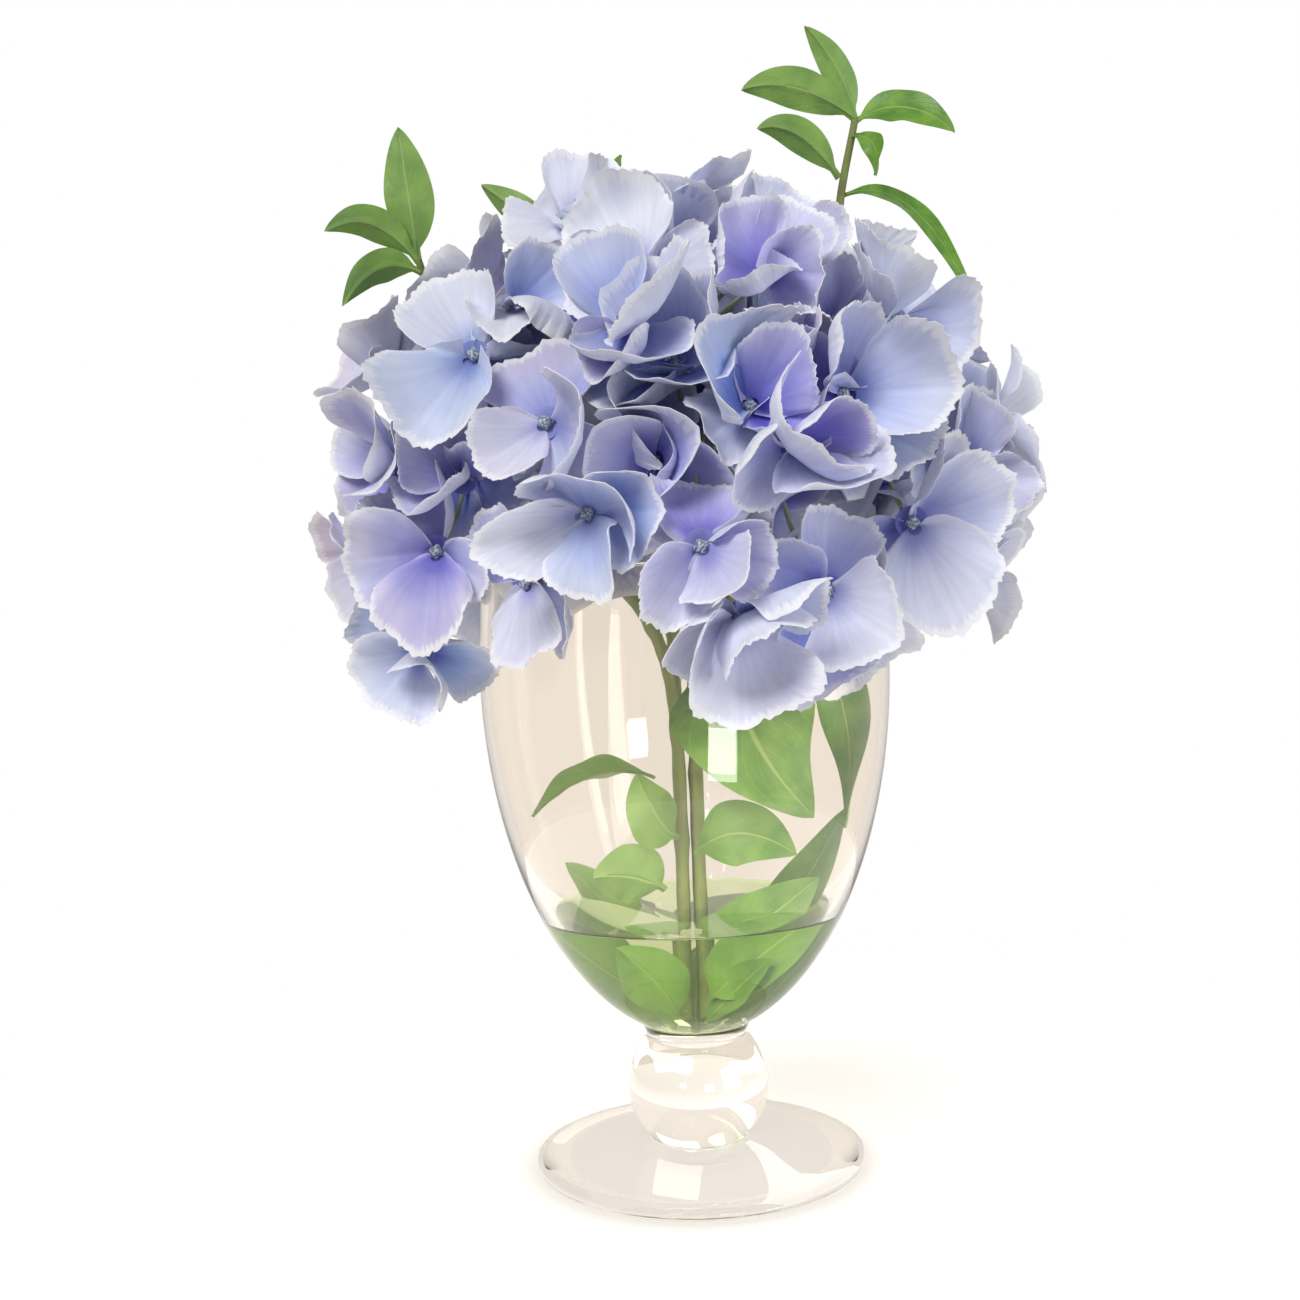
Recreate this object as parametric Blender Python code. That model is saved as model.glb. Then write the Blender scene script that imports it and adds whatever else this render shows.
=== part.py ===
"""Blue hydrangeas in a footed glass vase, with leafy sprigs and a little water.

Four mophead hydrangeas stand in a goblet-shaped vase. Each head is a stem that
swells into a hub, with florets on thin stalks around it. Each floret is one
solid: four overlapping sepals, as a lobed blade, and its stalk.

Units are metres, +Z is up and -Y is the front. The origin is the middle of the
vase's underside, on the table.
"""

import math

import bmesh
import bpy
from mathutils import Matrix, Vector

MM = 0.001

# ---- driving dimensions ------------------------------------------------------

GAP = 0.35 * MM                 # clearance between pieces that touch

# vase: a round foot, a solid ball and a bowl whose wall is half of an ellipse
FOOT_RADIUS = 52.5 * MM
FOOT_RIM_THICKNESS = 3.0 * MM
FOOT_TOP = 7.2 * MM             # height of the foot where the ball sits on it
BALL_RADIUS = 22.6 * MM
BALL_CENTRE = 24.2 * MM
BOWL_WAIST = 160 * MM           # height of the bowl's widest ring
BOWL_RADIUS = 65.5 * MM
BOWL_DEPTH = 120 * MM           # from the widest ring down to the ellipse's tip
WALL = 2.6 * MM
INNER_DEPTH = 113.5 * MM        # the inside's own ellipse, above a thick bottom
RIM_HEIGHT = 188 * MM
NECK_HEIGHT = 44.5 * MM
VASE_SEGMENTS = 36

WATER_LEVEL = 80 * MM

STEM_RADIUS = 2.3 * MM
STEM_FOOT = 55 * MM             # the stems' cut ends
STEM_SPACING = 4.0 * MM         # from the vase's axis to each stem in the bundle
STEM_LEAN = [(0.7, 0), (0.88, 0.1), (1.0, 0.4)]    # (share of the rim's height, lean)
HUB_RADIUS = 6.5 * MM
HUB_SWELL = [(-0.7, 0.75), (0.0, 1.0), (0.7, 0.72), (0.95, 0.25)]   # (height, radius) shares

FLORET_RADIUS = 34 * MM
FLORET_DROOP = 5.0 * MM         # how far a floret's tips hang back from its middle
SEPAL_HALF_THICKNESS = 0.75 * MM
STALK_RADIUS = 0.9 * MM
LOBES = 4
SPOKES = 16                     # points round a floret's outline
STALK_SIDES = 8

LEAF_THICKNESS = 1.1 * MM
PETIOLE_WIDTH = 2.4 * MM
SPRIG_RADIUS = 1.3 * MM

# Each head: its hub, the side of the bundle that its stem is on (0 is the front,
# 90 the right), and the middle of each floret with its spin, in mm and degrees.
HEADS = {
    "left": (
        (-50, -6, 214), -45,
        [((-56, -62, 245), 10), ((-68, -58, 194), 25), ((-90, -40, 220), 60),
         ((-76, -44, 167), 20), ((-104, -24, 192), 5), ((-94, -12, 254), 40),
         ((-100, 30, 226), 75), ((-60, 54, 190), 15), ((-76, 42, 250), 50)],
    ),
    "front": (
        (3, -44, 211), 45,
        [((-36, -70, 225), 25), ((-24, -85, 200), 60), ((3, -100, 190), 0),
         ((15, -87, 167), 30), ((35, -77, 179), 70), ((26, -91, 215), 15),
         ((14, -82, 239), 40), ((-14, -74, 249), 80), ((-44, -64, 182), 35)],
    ),
    "right": (
        (52, -4, 216), 135,
        [((62, -62, 197), 45), ((50, -71, 229), 10), ((44, -56, 174), 75),
         ((60, -50, 260), 30), ((100, -26, 228), 55), ((98, -22, 186), 20),
         ((88, -4, 262), 0), ((106, 26, 210), 65), ((60, 54, 190), 35), ((76, 48, 240), 10)],
    ),
    "top": (
        (-6, 10, 252), -135,
        [((-15, -54, 277), 20), ((24, -60, 266), 65), ((-46, -48, 262), 40),
         ((32, -30, 294), 0), ((-37, -24, 298), 70), ((2, -12, 314), 25),
         ((42, 12, 298), 50), ((-62, 6, 288), 15), ((-6, 52, 300), 60), ((38, 60, 262), 30),
         ((-44, 62, 266), 75), ((-8, 70, 222), 5)],
    ),
}

# Leaves: base, middle and tip of the midrib, the full width, and the roll of the
# blade about its midrib (0 lies flat, 90 stands on edge), all in mm and degrees.
LEAVES = {
    "leaf_front_broad": ((15, -15, 178), (16, -30, 146), (36, -32, 112), 44, 62),
    "leaf_right_arched": ((17, 9, 178), (48, 4, 156), (50, -4, 104), 21, 38),
    "leaf_right_tall": ((3, -11, 60), (16, -15, 73), (40, -11, 90), 23, 70),
    "leaf_left_arched": ((-10.5, 4, 122), (-32, 8, 124), (-52, 6, 110), 22, 24),
    "leaf_left_small": ((-4, -9.5, 104), (-11, -18, 112), (-16, -22, 126), 18, 78),
    "leaf_right_oval": ((1, -11, 99), (15, -18, 106), (32, -20, 99), 21, 66),
    "leaf_left_oval": ((-8.5, -6.5, 87), (-19, -11, 93), (-31, -13, 93), 21, 72),
    "leaf_left_water": ((-10.5, 6, 62), (-24, 13, 76), (-42, 14, 93), 24, 58),
    "leaf_top_left": ((-34, 34, 300), (-48, 38, 316), (-64, 36, 328), 13, 60),
    "leaf_top_point": ((-24, 38, 306), (-20, 38, 322), (-15, 34, 336), 15, 80),
    "leaf_top_flat": ((40, 42, 304), (20, 42, 318), (-2, 36, 321), 14, 20),
    "leaf_right_low": ((88, 34, 262), (102, 38, 252), (118, 34, 234), 22, 60),
}

# Sprigs: the stem's points, then each leaflet's base, middle, tip, width and roll.
SPRIGS = {
    "sprig_left": (
        [(-74, 24, 262), (-78, 14, 278), (-82, 6, 294)],
        [((-82, 6, 294), (-84, 3, 315), (-86, 0, 335), 16, 34),
         ((-82, 6, 293), (-96, 2, 305), (-110, -4, 301), 11.5, 55),
         ((-81.5, 7, 290), (-95, 4, 291), (-106, 0, 278), 11.5, 55),
         ((-81, 8, 288), (-76, -2, 287), (-71, -8, 281), 10, 50)],
    ),
    "sprig_right": (
        [(64, 26, 262), (60, 20, 284), (57, 12, 306), (62, 4, 334)],
        [((62, 4, 334), (43, 2, 344), (25, 0, 343), 13, 70),
         ((62, 4, 334), (56, 2, 350), (46, 0, 363), 10, 75),
         ((62, 4, 333), (77, 0, 336), (92, -6, 325), 13.5, 65),
         ((57, 10, 317), (44, 8, 331), (30, 4, 332), 11, 60),
         ((61, 5, 329), (67, 0, 324), (66, -6, 312), 7.5, 50),
         ((57, 11, 311), (80, 6, 305), (99, 0, 268), 10, 45)],
    ),
}

# ---- materials ---------------------------------------------------------------


def material(name, colour, roughness, metallic=0.0, alpha=1.0):
    made = bpy.data.materials.new(name)
    made.use_nodes = True
    made.diffuse_color = (*colour, alpha)
    shader = made.node_tree.nodes["Principled BSDF"]
    shader.inputs["Base Color"].default_value = (*colour, 1.0)
    shader.inputs["Roughness"].default_value = roughness
    shader.inputs["Metallic"].default_value = metallic
    shader.inputs["Alpha"].default_value = alpha
    return made


# ---- shared geometry ---------------------------------------------------------


def mm(point):
    """A point given in mm, in metres."""
    return Vector(point) * MM


def add_object(name, bm, look):
    """Makes an object of a bmesh, with its faces pointing out."""
    bmesh.ops.recalc_face_normals(bm, faces=bm.faces)
    mesh = bpy.data.meshes.new(name)
    bm.to_mesh(mesh)
    bm.free()
    mesh.materials.append(look)
    mesh.shade_smooth()
    mesh.set_sharp_from_angle(angle=math.radians(40))
    obj = bpy.data.objects.new(name, mesh)
    bpy.context.scene.collection.objects.link(obj)
    return obj


def turned(name, profile, look):
    """A closed solid turned about Z from (radius, height) points that start and end on the axis."""
    bm = bmesh.new()
    verts = [bm.verts.new((r, 0, z)) for r, z in profile]
    edges = [bm.edges.new(pair) for pair in zip(verts, verts[1:])]
    bmesh.ops.spin(bm, geom=verts + edges, axis=(0, 0, 1), cent=(0, 0, 0),
                   steps=VASE_SEGMENTS, angle=math.tau)
    bmesh.ops.remove_doubles(bm, verts=bm.verts, dist=0.01 * MM)
    return add_object(name, bm, look)


def quadratic(start, middle, end, t):
    """A point on the smooth curve that passes through middle at t = 0.5."""
    control = middle * 2 - (start + end) / 2
    return start * (1 - t) ** 2 + control * 2 * t * (1 - t) + end * t ** 2


def smooth_path(points, steps):
    """Catmull-Rom points through the given ones, steps to each span."""
    ends = [points[0] * 2 - points[1], *points, points[-1] * 2 - points[-2]]
    path = []
    for a, b, c, d in zip(ends, ends[1:], ends[2:], ends[3:]):
        for i in range(steps):
            t = i / steps
            path.append(0.5 * (b * 2 + (c - a) * t + (a * 2 - b * 5 + c * 4 - d) * t * t
                               + (b * 3 - a - c * 3 + d) * t ** 3))
    return [*path, points[-1]]


def tube(name, path, radii, look, resolution=1):
    """A tube whose radius is given at each point of its path, closed at both ends."""
    curve = bpy.data.curves.new(name, "CURVE")
    curve.dimensions = "3D"
    curve.bevel_depth = 1.0
    curve.bevel_resolution = resolution
    curve.use_fill_caps = True
    spline = curve.splines.new("POLY")
    spline.points.add(len(path) - 1)
    for point, place, radius in zip(spline.points, path, radii):
        point.co = (*place, 1.0)
        point.radius = radius
    spline.use_smooth = True
    curve.materials.append(look)
    obj = bpy.data.objects.new(name, curve)
    bpy.context.scene.collection.objects.link(obj)
    return obj


def as_mesh(tube_object):
    """The same object as a mesh, for Booleans."""
    name, look = tube_object.name, tube_object.data.materials[0]
    graph = bpy.context.evaluated_depsgraph_get()
    mesh = bpy.data.meshes.new_from_object(tube_object.evaluated_get(graph))
    bpy.data.objects.remove(tube_object)
    bm = bmesh.new()
    bm.from_mesh(mesh)
    bmesh.ops.remove_doubles(bm, verts=bm.verts, dist=0.01 * MM)
    return add_object(name, bm, look)


# ---- vase and water ----------------------------------------------------------


def ellipse_radius(height, radius, depth):
    """The bowl's radius at a height, on an ellipse centred at its widest ring."""
    return radius * math.sqrt(max(0.0, 1 - ((BOWL_WAIST - height) / depth) ** 2))


def heights(low, high, count):
    """Heights from low to high, closer together near low, where the ellipse turns."""
    return [low + (high - low) * (i / count) ** 1.6 for i in range(count + 1)]


def inside_wall():
    """The inside of the bowl, from its lowest ring up to the lip."""
    low, high = BOWL_WAIST - INNER_DEPTH + 0.6 * MM, RIM_HEIGHT - 1 * MM
    return [(ellipse_radius(z, BOWL_RADIUS - WALL, INNER_DEPTH), z) for z in heights(low, high, 9)]


def vase_profile():
    """The vase's section: foot, ball, outside of the bowl, rim, then down the inside."""
    rim = FOOT_RIM_THICKNESS
    foot = [(0, 0), (FOOT_RADIUS - 1 * MM, 0), (FOOT_RADIUS, 0.4 * rim),
            (FOOT_RADIUS - 0.7 * MM, rim), (0.6 * FOOT_RADIUS, 1.35 * rim)]
    low = math.asin((FOOT_TOP - BALL_CENTRE) / BALL_RADIUS)
    high = math.asin((NECK_HEIGHT - 3 * MM - BALL_CENTRE) / BALL_RADIUS)
    turns = 7
    ball = [(BALL_RADIUS * math.cos(low + (high - low) * i / turns),
             BALL_CENTRE + BALL_RADIUS * math.sin(low + (high - low) * i / turns))
            for i in range(turns + 1)]
    outside = [(ellipse_radius(z, BOWL_RADIUS, BOWL_DEPTH), z)
               for z in heights(NECK_HEIGHT, RIM_HEIGHT - 1 * MM, 10)]
    lip = [(ellipse_radius(RIM_HEIGHT, BOWL_RADIUS, BOWL_DEPTH) - WALL / 2, RIM_HEIGHT)]
    floor = BOWL_WAIST - INNER_DEPTH
    return [*foot, *ball, *outside, *lip, *reversed(inside_wall()), (0, floor)]


def water_profile():
    """The water's section: just inside the glass, up to the water level."""
    profile = [(0, BOWL_WAIST - INNER_DEPTH + GAP)]
    for (r, z), (next_r, next_z) in zip(inside_wall(), inside_wall()[1:]):
        profile.append((r - 1.2 * GAP, z + GAP))
        if next_z + GAP > WATER_LEVEL:
            share = (WATER_LEVEL - z - GAP) / (next_z - z)
            edge = r + (next_r - r) * share - 1.2 * GAP
            return [*profile, (edge, WATER_LEVEL), (0, WATER_LEVEL)]
    return profile


def cut(obj, cutter):
    """Cuts a hidden cutter's shape out of obj."""
    cutter.hide_render = True
    cutter.display_type = "WIRE"
    hole = obj.modifiers.new(f"hole_{cutter.name}", "BOOLEAN")
    hole.operation = "DIFFERENCE"
    hole.object = cutter


# ---- stems -------------------------------------------------------------------


def stem_path(head):
    """From the cut end, straight up in the bundle, then over to the head's hub."""
    hub, side, _ = HEADS[head]
    hub = mm(hub)
    turn = math.radians(side)
    foot = Vector((math.sin(turn), -math.cos(turn), 0)) * STEM_SPACING
    below_hub = Vector((hub.x, hub.y, 0))
    points = [foot + Vector((0, 0, STEM_FOOT))]
    for height, lean in STEM_LEAN:
        points.append(foot.lerp(below_hub, lean) + Vector((0, 0, height * RIM_HEIGHT)))
    return smooth_path([*points, hub], 2)


def make_stem(head, look):
    """A stem that swells at its top into the hub that the head's stalks come from."""
    path = stem_path(head)
    hub = path.pop()
    up = (hub - path[-1]).normalized()
    path.append(hub - up * HUB_RADIUS * 1.1)
    radii = [STEM_RADIUS] * len(path)
    for along, share in HUB_SWELL:
        path.append(hub + up * HUB_RADIUS * along)
        radii.append(HUB_RADIUS * share)
    return tube(f"stem_{head}", path, radii, look, resolution=2)


def make_stem_room(head, look):
    """A cutter for the stretch of a stem that stands in the water."""
    low, high = stem_path(head)[:2]
    ends = [low - Vector((0, 0, 2 * GAP)), high]
    room = tube(f"stem_{head}_room", ends, [STEM_RADIUS + 2 * GAP] * 2, look, resolution=2)
    return as_mesh(room)


# ---- leaves ------------------------------------------------------------------


def leaf_half_width(t, width, petiole):
    """Half the leaf's width at t along its midrib: a narrow stalk, then an oval blade."""
    blade = max(0.0, (t - 0.08) / 0.92)
    oval = math.sin(math.pi * blade ** 0.8) ** 0.75 if 0 < blade < 1 else 0.0
    return max(width / 2 * oval, petiole / 2 * (1 - t))


def leaf_side(along, roll):
    """The direction across the blade, turned by roll about the midrib."""
    level = along.cross(Vector((0, 0, 1)))
    if level.length < 1e-6:
        level = Vector((1, 0, 0))
    return Matrix.Rotation(math.radians(roll), 3, along) @ level.normalized()


def add_leaf(bm, base, middle, tip, width, roll, stations=6):
    """Adds a leaf as one closed solid, thick along its midrib and thin at its edges."""
    half = LEAF_THICKNESS / 2
    rows = []
    for i in range(stations):
        t = i / stations
        centre = quadratic(base, middle, tip, t)
        ahead = quadratic(base, middle, tip, t + 0.02)
        along = (ahead - centre).normalized()
        side = leaf_side(along, roll)
        face = side.cross(along).normalized()
        reach = leaf_half_width(t, width, PETIOLE_WIDTH)
        keel = face * (0.12 * reach)
        rows.append([bm.verts.new(p) for p in (
            centre - side * reach, centre + face * half - keel,
            centre + side * reach, centre - face * half - keel)])
    point = bm.verts.new(tip)
    bm.faces.new(reversed(rows[0]))
    for low, high in zip(rows, rows[1:]):
        for k in range(4):
            bm.faces.new((low[k], low[(k + 1) % 4], high[(k + 1) % 4], high[k]))
    for k in range(4):
        bm.faces.new((rows[-1][k], rows[-1][(k + 1) % 4], point))


def leaf_mesh(shape, stations=6):
    base, middle, tip, width, roll = shape
    bm = bmesh.new()
    add_leaf(bm, mm(base), mm(middle), mm(tip), width * MM, roll, stations)
    bmesh.ops.triangulate(bm, faces=bm.faces)
    bmesh.ops.recalc_face_normals(bm, faces=bm.faces)
    return bm


def make_leaf_room(name, shape, look):
    """A cutter a little larger than the leaf on every side."""
    bm = leaf_mesh(shape)
    bm.normal_update()
    swollen = [v.co + v.normal * 4 * GAP for v in bm.verts]
    for vert, place in zip(bm.verts, swollen):
        vert.co = place
    return add_object(name + "_room", bm, look)


def make_sprig(name, stem_points, leaflets, look):
    """A sprig: its stem with its leaflets joined to it, as one solid."""
    path = smooth_path([mm(p) for p in stem_points], 2)
    sprig = as_mesh(tube(name, path, [SPRIG_RADIUS] * len(path), look))
    for i, shape in enumerate(leaflets):
        leaflet = add_object(f"{name}_leaflet_{i}", leaf_mesh(shape, stations=4), look)
        leaflet.hide_render = True
        leaflet.display_type = "WIRE"
        join = sprig.modifiers.new(f"join_{i}", "BOOLEAN")
        join.operation = "UNION"
        join.object = leaflet
    return sprig


# ---- florets -----------------------------------------------------------------


def floret_sites():
    """[(name, hub, centre, outward direction, spin)] for every floret."""
    sites = []
    for head, (hub, _, places) in HEADS.items():
        for i, (place, spin) in enumerate(places):
            out = (mm(place) - mm(hub)).normalized()
            sites.append((f"floret_{head}_{i + 1:02d}", mm(hub), mm(place), out, spin))
    return sites


def stalk_elbow(hub, centre):
    """Where a floret's stalk bends; those of low florets bend over the rim."""
    drop = max(0.0, hub.z - centre.z)
    return hub.lerp(centre, 0.6) + Vector((0, 0, 0.5 * drop))


def greenery():
    """[(point, clearance)] of the sprigs and the upper leaves, which florets leave room for."""
    found = []
    for shape in [s for s in LEAVES.values() if s[0][2] * MM > RIM_HEIGHT]:
        found += leaf_points(shape)
    for stem, leaflets in SPRIGS.values():
        found += [(p, SPRIG_RADIUS + 2 * MM) for p in smooth_path([mm(p) for p in stem], 6)]
        for shape in leaflets:
            found += leaf_points(shape)
    return found


def leaf_points(shape):
    base, middle, tip, width, _ = shape
    stops = [i / 6 for i in range(7)]
    return [(quadratic(mm(base), mm(middle), mm(tip), t),
             leaf_half_width(t, width * MM, PETIOLE_WIDTH) + 2 * MM) for t in stops]


def stalk_points(hub, centre):
    elbow = stalk_elbow(hub, centre)
    stops = [i / 5 for i in range(5)]
    lower = [hub.lerp(elbow, t) for t in stops]
    upper = [elbow.lerp(centre, t) for t in stops]
    return [(p, STALK_RADIUS + 2 * MM) for p in lower + upper]


def is_free(point, centre, others, obstacles):
    """True where a floret may reach: nearer its own centre than any other, and off the glass."""
    own = (point - centre).length
    if any((point - other).length < own + 2 * MM for other in others):
        return False
    if any((point - other).length < clearance for other, clearance in obstacles):
        return False
    near_glass = math.hypot(point.x, point.y) < BOWL_RADIUS + 5 * MM
    return not (near_glass and point.z < RIM_HEIGHT + 4 * MM)


def spoke_reach(centre, spoke, out, others, obstacles):
    """The share of a spoke that is free, looked for outwards from the middle."""
    reach = 0.2
    while reach < 1.0 and is_free(
            centre + spoke * reach - out * FLORET_DROOP * reach ** 2, centre, others, obstacles):
        reach += 0.04
    return reach - 0.04


def lobe_reach(angle):
    """A floret's outline: four rounded sepals with a shallow notch between them."""
    wave = abs(math.cos(angle * LOBES / 2))
    return FLORET_RADIUS * (0.74 + 0.26 * wave ** 0.7)


def make_floret(name, hub, centre, out, spin, others, obstacles, look):
    """A lobed, slightly drooping blade with a bent stalk to just outside the hub."""
    side = out.cross(Vector((0, 0, 1))).normalized()
    side = Matrix.Rotation(math.radians(spin), 3, out) @ side
    across = out.cross(side)
    bm = bmesh.new()
    spokes = []
    for k in range(SPOKES):
        angle = math.tau * k / SPOKES
        spoke = (side * math.cos(angle) + across * math.sin(angle)) * lobe_reach(angle)
        spokes.append(spoke * spoke_reach(centre, spoke, out, others, obstacles))

    def blade_ring(share, lift):
        places = []
        for spoke in spokes:
            droop = FLORET_DROOP * (share * spoke.length / FLORET_RADIUS) ** 2
            places.append(centre + spoke * share + out * (lift - droop))
        return [bm.verts.new(p) for p in places]

    def stalk_ring(place, along):
        """A ring about the stalk, square to along, lined up with the blade's spokes."""
        first = (side - along * side.dot(along)).normalized()
        second = along.cross(first)
        turns = [math.tau * (k + 0.5) / STALK_SIDES for k in range(STALK_SIDES)]
        return [bm.verts.new(place + (first * math.cos(a) + second * math.sin(a)) * STALK_RADIUS)
                for a in turns]

    elbow = stalk_elbow(hub, centre)
    foot = hub + (elbow - hub).normalized() * (HUB_RADIUS + 0.8 * MM)
    top = bm.verts.new(centre + out * 2.2 * MM)
    inner_top = blade_ring(0.3, SEPAL_HALF_THICKNESS)
    rim = blade_ring(1.0, 0.0)
    inner_low = blade_ring(0.3, -SEPAL_HALF_THICKNESS)
    stalk = [stalk_ring(centre - out * 2 * MM, out),
             stalk_ring(elbow, (centre - foot).normalized()),
             stalk_ring(foot, (elbow - foot).normalized())]
    step = SPOKES // STALK_SIDES
    for k in range(SPOKES):
        n = (k + 1) % SPOKES
        bm.faces.new((top, inner_top[k], inner_top[n]))
        bm.faces.new((inner_top[k], rim[k], rim[n], inner_top[n]))
        bm.faces.new((rim[k], inner_low[k], inner_low[n], rim[n]))
        bm.faces.new((inner_low[k], stalk[0][k // step], inner_low[n]))
    for j in range(STALK_SIDES):
        n = (j + 1) % STALK_SIDES
        bm.faces.new((inner_low[(j + 1) * step % SPOKES], stalk[0][j], stalk[0][n]))
        for upper, lower in zip(stalk, stalk[1:]):
            bm.faces.new((upper[j], lower[j], lower[n], upper[n]))
    bm.faces.new(stalk[-1])
    bmesh.ops.triangulate(bm, faces=bm.faces)
    return add_object(name, bm, look)


# ---- the object --------------------------------------------------------------


def clear_scene():
    for obj in list(bpy.data.objects):
        bpy.data.objects.remove(obj, do_unlink=True)


def make_water(look):
    """The water, with room for the stems and for the leaves that stand in it."""
    water = turned("water", water_profile(), look)
    for head in HEADS:
        cut(water, make_stem_room(head, look))
    for name, shape in LEAVES.items():
        if shape[0][2] * MM < WATER_LEVEL:
            cut(water, make_leaf_room(name, shape, look))
    return water


def main():
    clear_scene()
    glass = material("glass", (0.95, 0.96, 0.94), 0.03, alpha=0.35)
    water = material("water", (0.90, 0.93, 0.90), 0.03, alpha=0.35)
    stem = material("stem", (0.33, 0.40, 0.13), 0.55)
    leaf = material("leaf", (0.17, 0.33, 0.07), 0.5)
    sprig = material("sprig", (0.20, 0.40, 0.09), 0.5)
    sepal = material("sepal", (0.47, 0.51, 0.82), 0.7)

    turned("vase", vase_profile(), glass)
    make_water(water)
    for head in HEADS:
        make_stem(head, stem)
    for name, shape in LEAVES.items():
        add_object(name, leaf_mesh(shape), leaf)
    for name, (stem_points, leaflets) in SPRIGS.items():
        make_sprig(name, stem_points, leaflets, sprig)
    sites = floret_sites()
    for name, hub, centre, out, spin in sites:
        rest = [site for site in sites if site[0] != name]
        obstacles = greenery()
        for _, other_hub, other_centre, _, _ in rest:
            obstacles += stalk_points(other_hub, other_centre)
        others = [site[2] for site in rest]
        make_floret(name, hub, centre, out, spin, others, obstacles, sepal)


main()
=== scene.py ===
"""The looks of blue hydrangeas in a footed glass vase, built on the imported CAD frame.

Each CAD floret gives the place and the facing of a floret with four sepals, a
bead and a stalk. A sepal that would cut through those already there is pitched
another way, as crowded sepals are. The vase, the water, the leaves, the sprigs
and the stems are drawn again in fine detail where the CAD has them.

Units are metres, +Z is up and -Y is the front.
"""

import math
import random
from dataclasses import dataclass, replace

import bpy
import numpy as np
from mathutils import Matrix, Vector
from mathutils.bvhtree import BVHTree


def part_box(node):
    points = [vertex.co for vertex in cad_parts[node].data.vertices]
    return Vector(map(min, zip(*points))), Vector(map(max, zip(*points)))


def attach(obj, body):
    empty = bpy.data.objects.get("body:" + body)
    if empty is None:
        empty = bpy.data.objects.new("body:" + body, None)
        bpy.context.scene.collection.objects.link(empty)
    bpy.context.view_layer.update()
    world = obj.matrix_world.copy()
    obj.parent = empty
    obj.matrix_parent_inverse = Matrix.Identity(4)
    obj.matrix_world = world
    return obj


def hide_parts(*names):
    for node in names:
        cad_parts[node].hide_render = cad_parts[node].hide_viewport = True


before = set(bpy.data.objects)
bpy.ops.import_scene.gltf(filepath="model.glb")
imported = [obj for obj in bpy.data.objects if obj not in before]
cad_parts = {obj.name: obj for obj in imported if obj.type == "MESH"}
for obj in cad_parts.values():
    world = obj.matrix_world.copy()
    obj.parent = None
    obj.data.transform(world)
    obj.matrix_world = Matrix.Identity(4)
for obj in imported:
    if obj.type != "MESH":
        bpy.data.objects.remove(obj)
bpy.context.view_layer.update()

MM = 0.001

# ---- driving dimensions ------------------------------------------------------

# As in the CAD.
FOOT_RIM_THICKNESS = 3.0 * MM
BALL_RADIUS = 22.6 * MM
BALL_CENTRE = 24.2 * MM
BOWL_WAIST = 160 * MM
BOWL_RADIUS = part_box("vase")[1][0]
BOWL_DEPTH = 120 * MM
WALL = 2.6 * MM
INNER_DEPTH = 113.5 * MM
RIM_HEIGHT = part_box("vase")[1][2]
NECK_HEIGHT = 44.5 * MM
FOOT_RADIUS = 52.5 * MM
WATER_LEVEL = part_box("water")[1][2]
STEM_RADIUS = 2.3 * MM
PETIOLE_WIDTH = 2.4 * MM
SPRIG_RADIUS = 1.3 * MM

# Of the looks alone.
TURNS = 160                     # facets round the vase
SEPAL_LENGTH = 29 * MM
SEPAL_WIDTH = 35 * MM
SEPAL_THICKNESS = 0.35 * MM
BEAD_RADIUS = 1.9 * MM
STALK_RADIUS = 0.7 * MM
SEPAL_FULLNESS = 0.558          # makes the outline as wide as the sepal's width
TO_THE_FRONT = 1.3              # how strongly a floret with listed sepals is turned to the front
INNER_FLORETS = 15              # tried for each head
GOLDEN_TURN = 2.39996           # radians
FLOOR_RADIUS = 0.3

# Leaves and sprigs, as in the CAD: base, middle and tip of the midrib, the full
# width, and the roll of the blade about its midrib, in mm and degrees.
LEAVES = {
    "leaf_front_broad": ((15, -15, 178), (16, -30, 146), (36, -32, 112), 44, 62),
    "leaf_right_arched": ((17, 9, 178), (48, 4, 156), (50, -4, 104), 21, 38),
    "leaf_right_tall": ((3, -11, 60), (16, -15, 73), (40, -11, 90), 23, 70),
    "leaf_left_arched": ((-10.5, 4, 122), (-32, 8, 124), (-52, 6, 110), 22, 24),
    "leaf_left_small": ((-4, -9.5, 104), (-11, -18, 112), (-16, -22, 126), 18, 78),
    "leaf_right_oval": ((1, -11, 99), (15, -18, 106), (32, -20, 99), 21, 66),
    "leaf_left_oval": ((-8.5, -6.5, 87), (-19, -11, 93), (-31, -13, 93), 21, 72),
    "leaf_left_water": ((-10.5, 6, 62), (-24, 13, 76), (-42, 14, 93), 24, 58),
    "leaf_top_left": ((-34, 34, 300), (-48, 38, 316), (-64, 36, 328), 13, 60),
    "leaf_top_point": ((-24, 38, 306), (-20, 38, 322), (-15, 34, 336), 15, 80),
    "leaf_top_flat": ((40, 42, 304), (20, 42, 318), (-2, 36, 321), 14, 20),
    "leaf_right_low": ((88, 34, 262), (102, 38, 252), (118, 34, 234), 22, 60),
}

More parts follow.
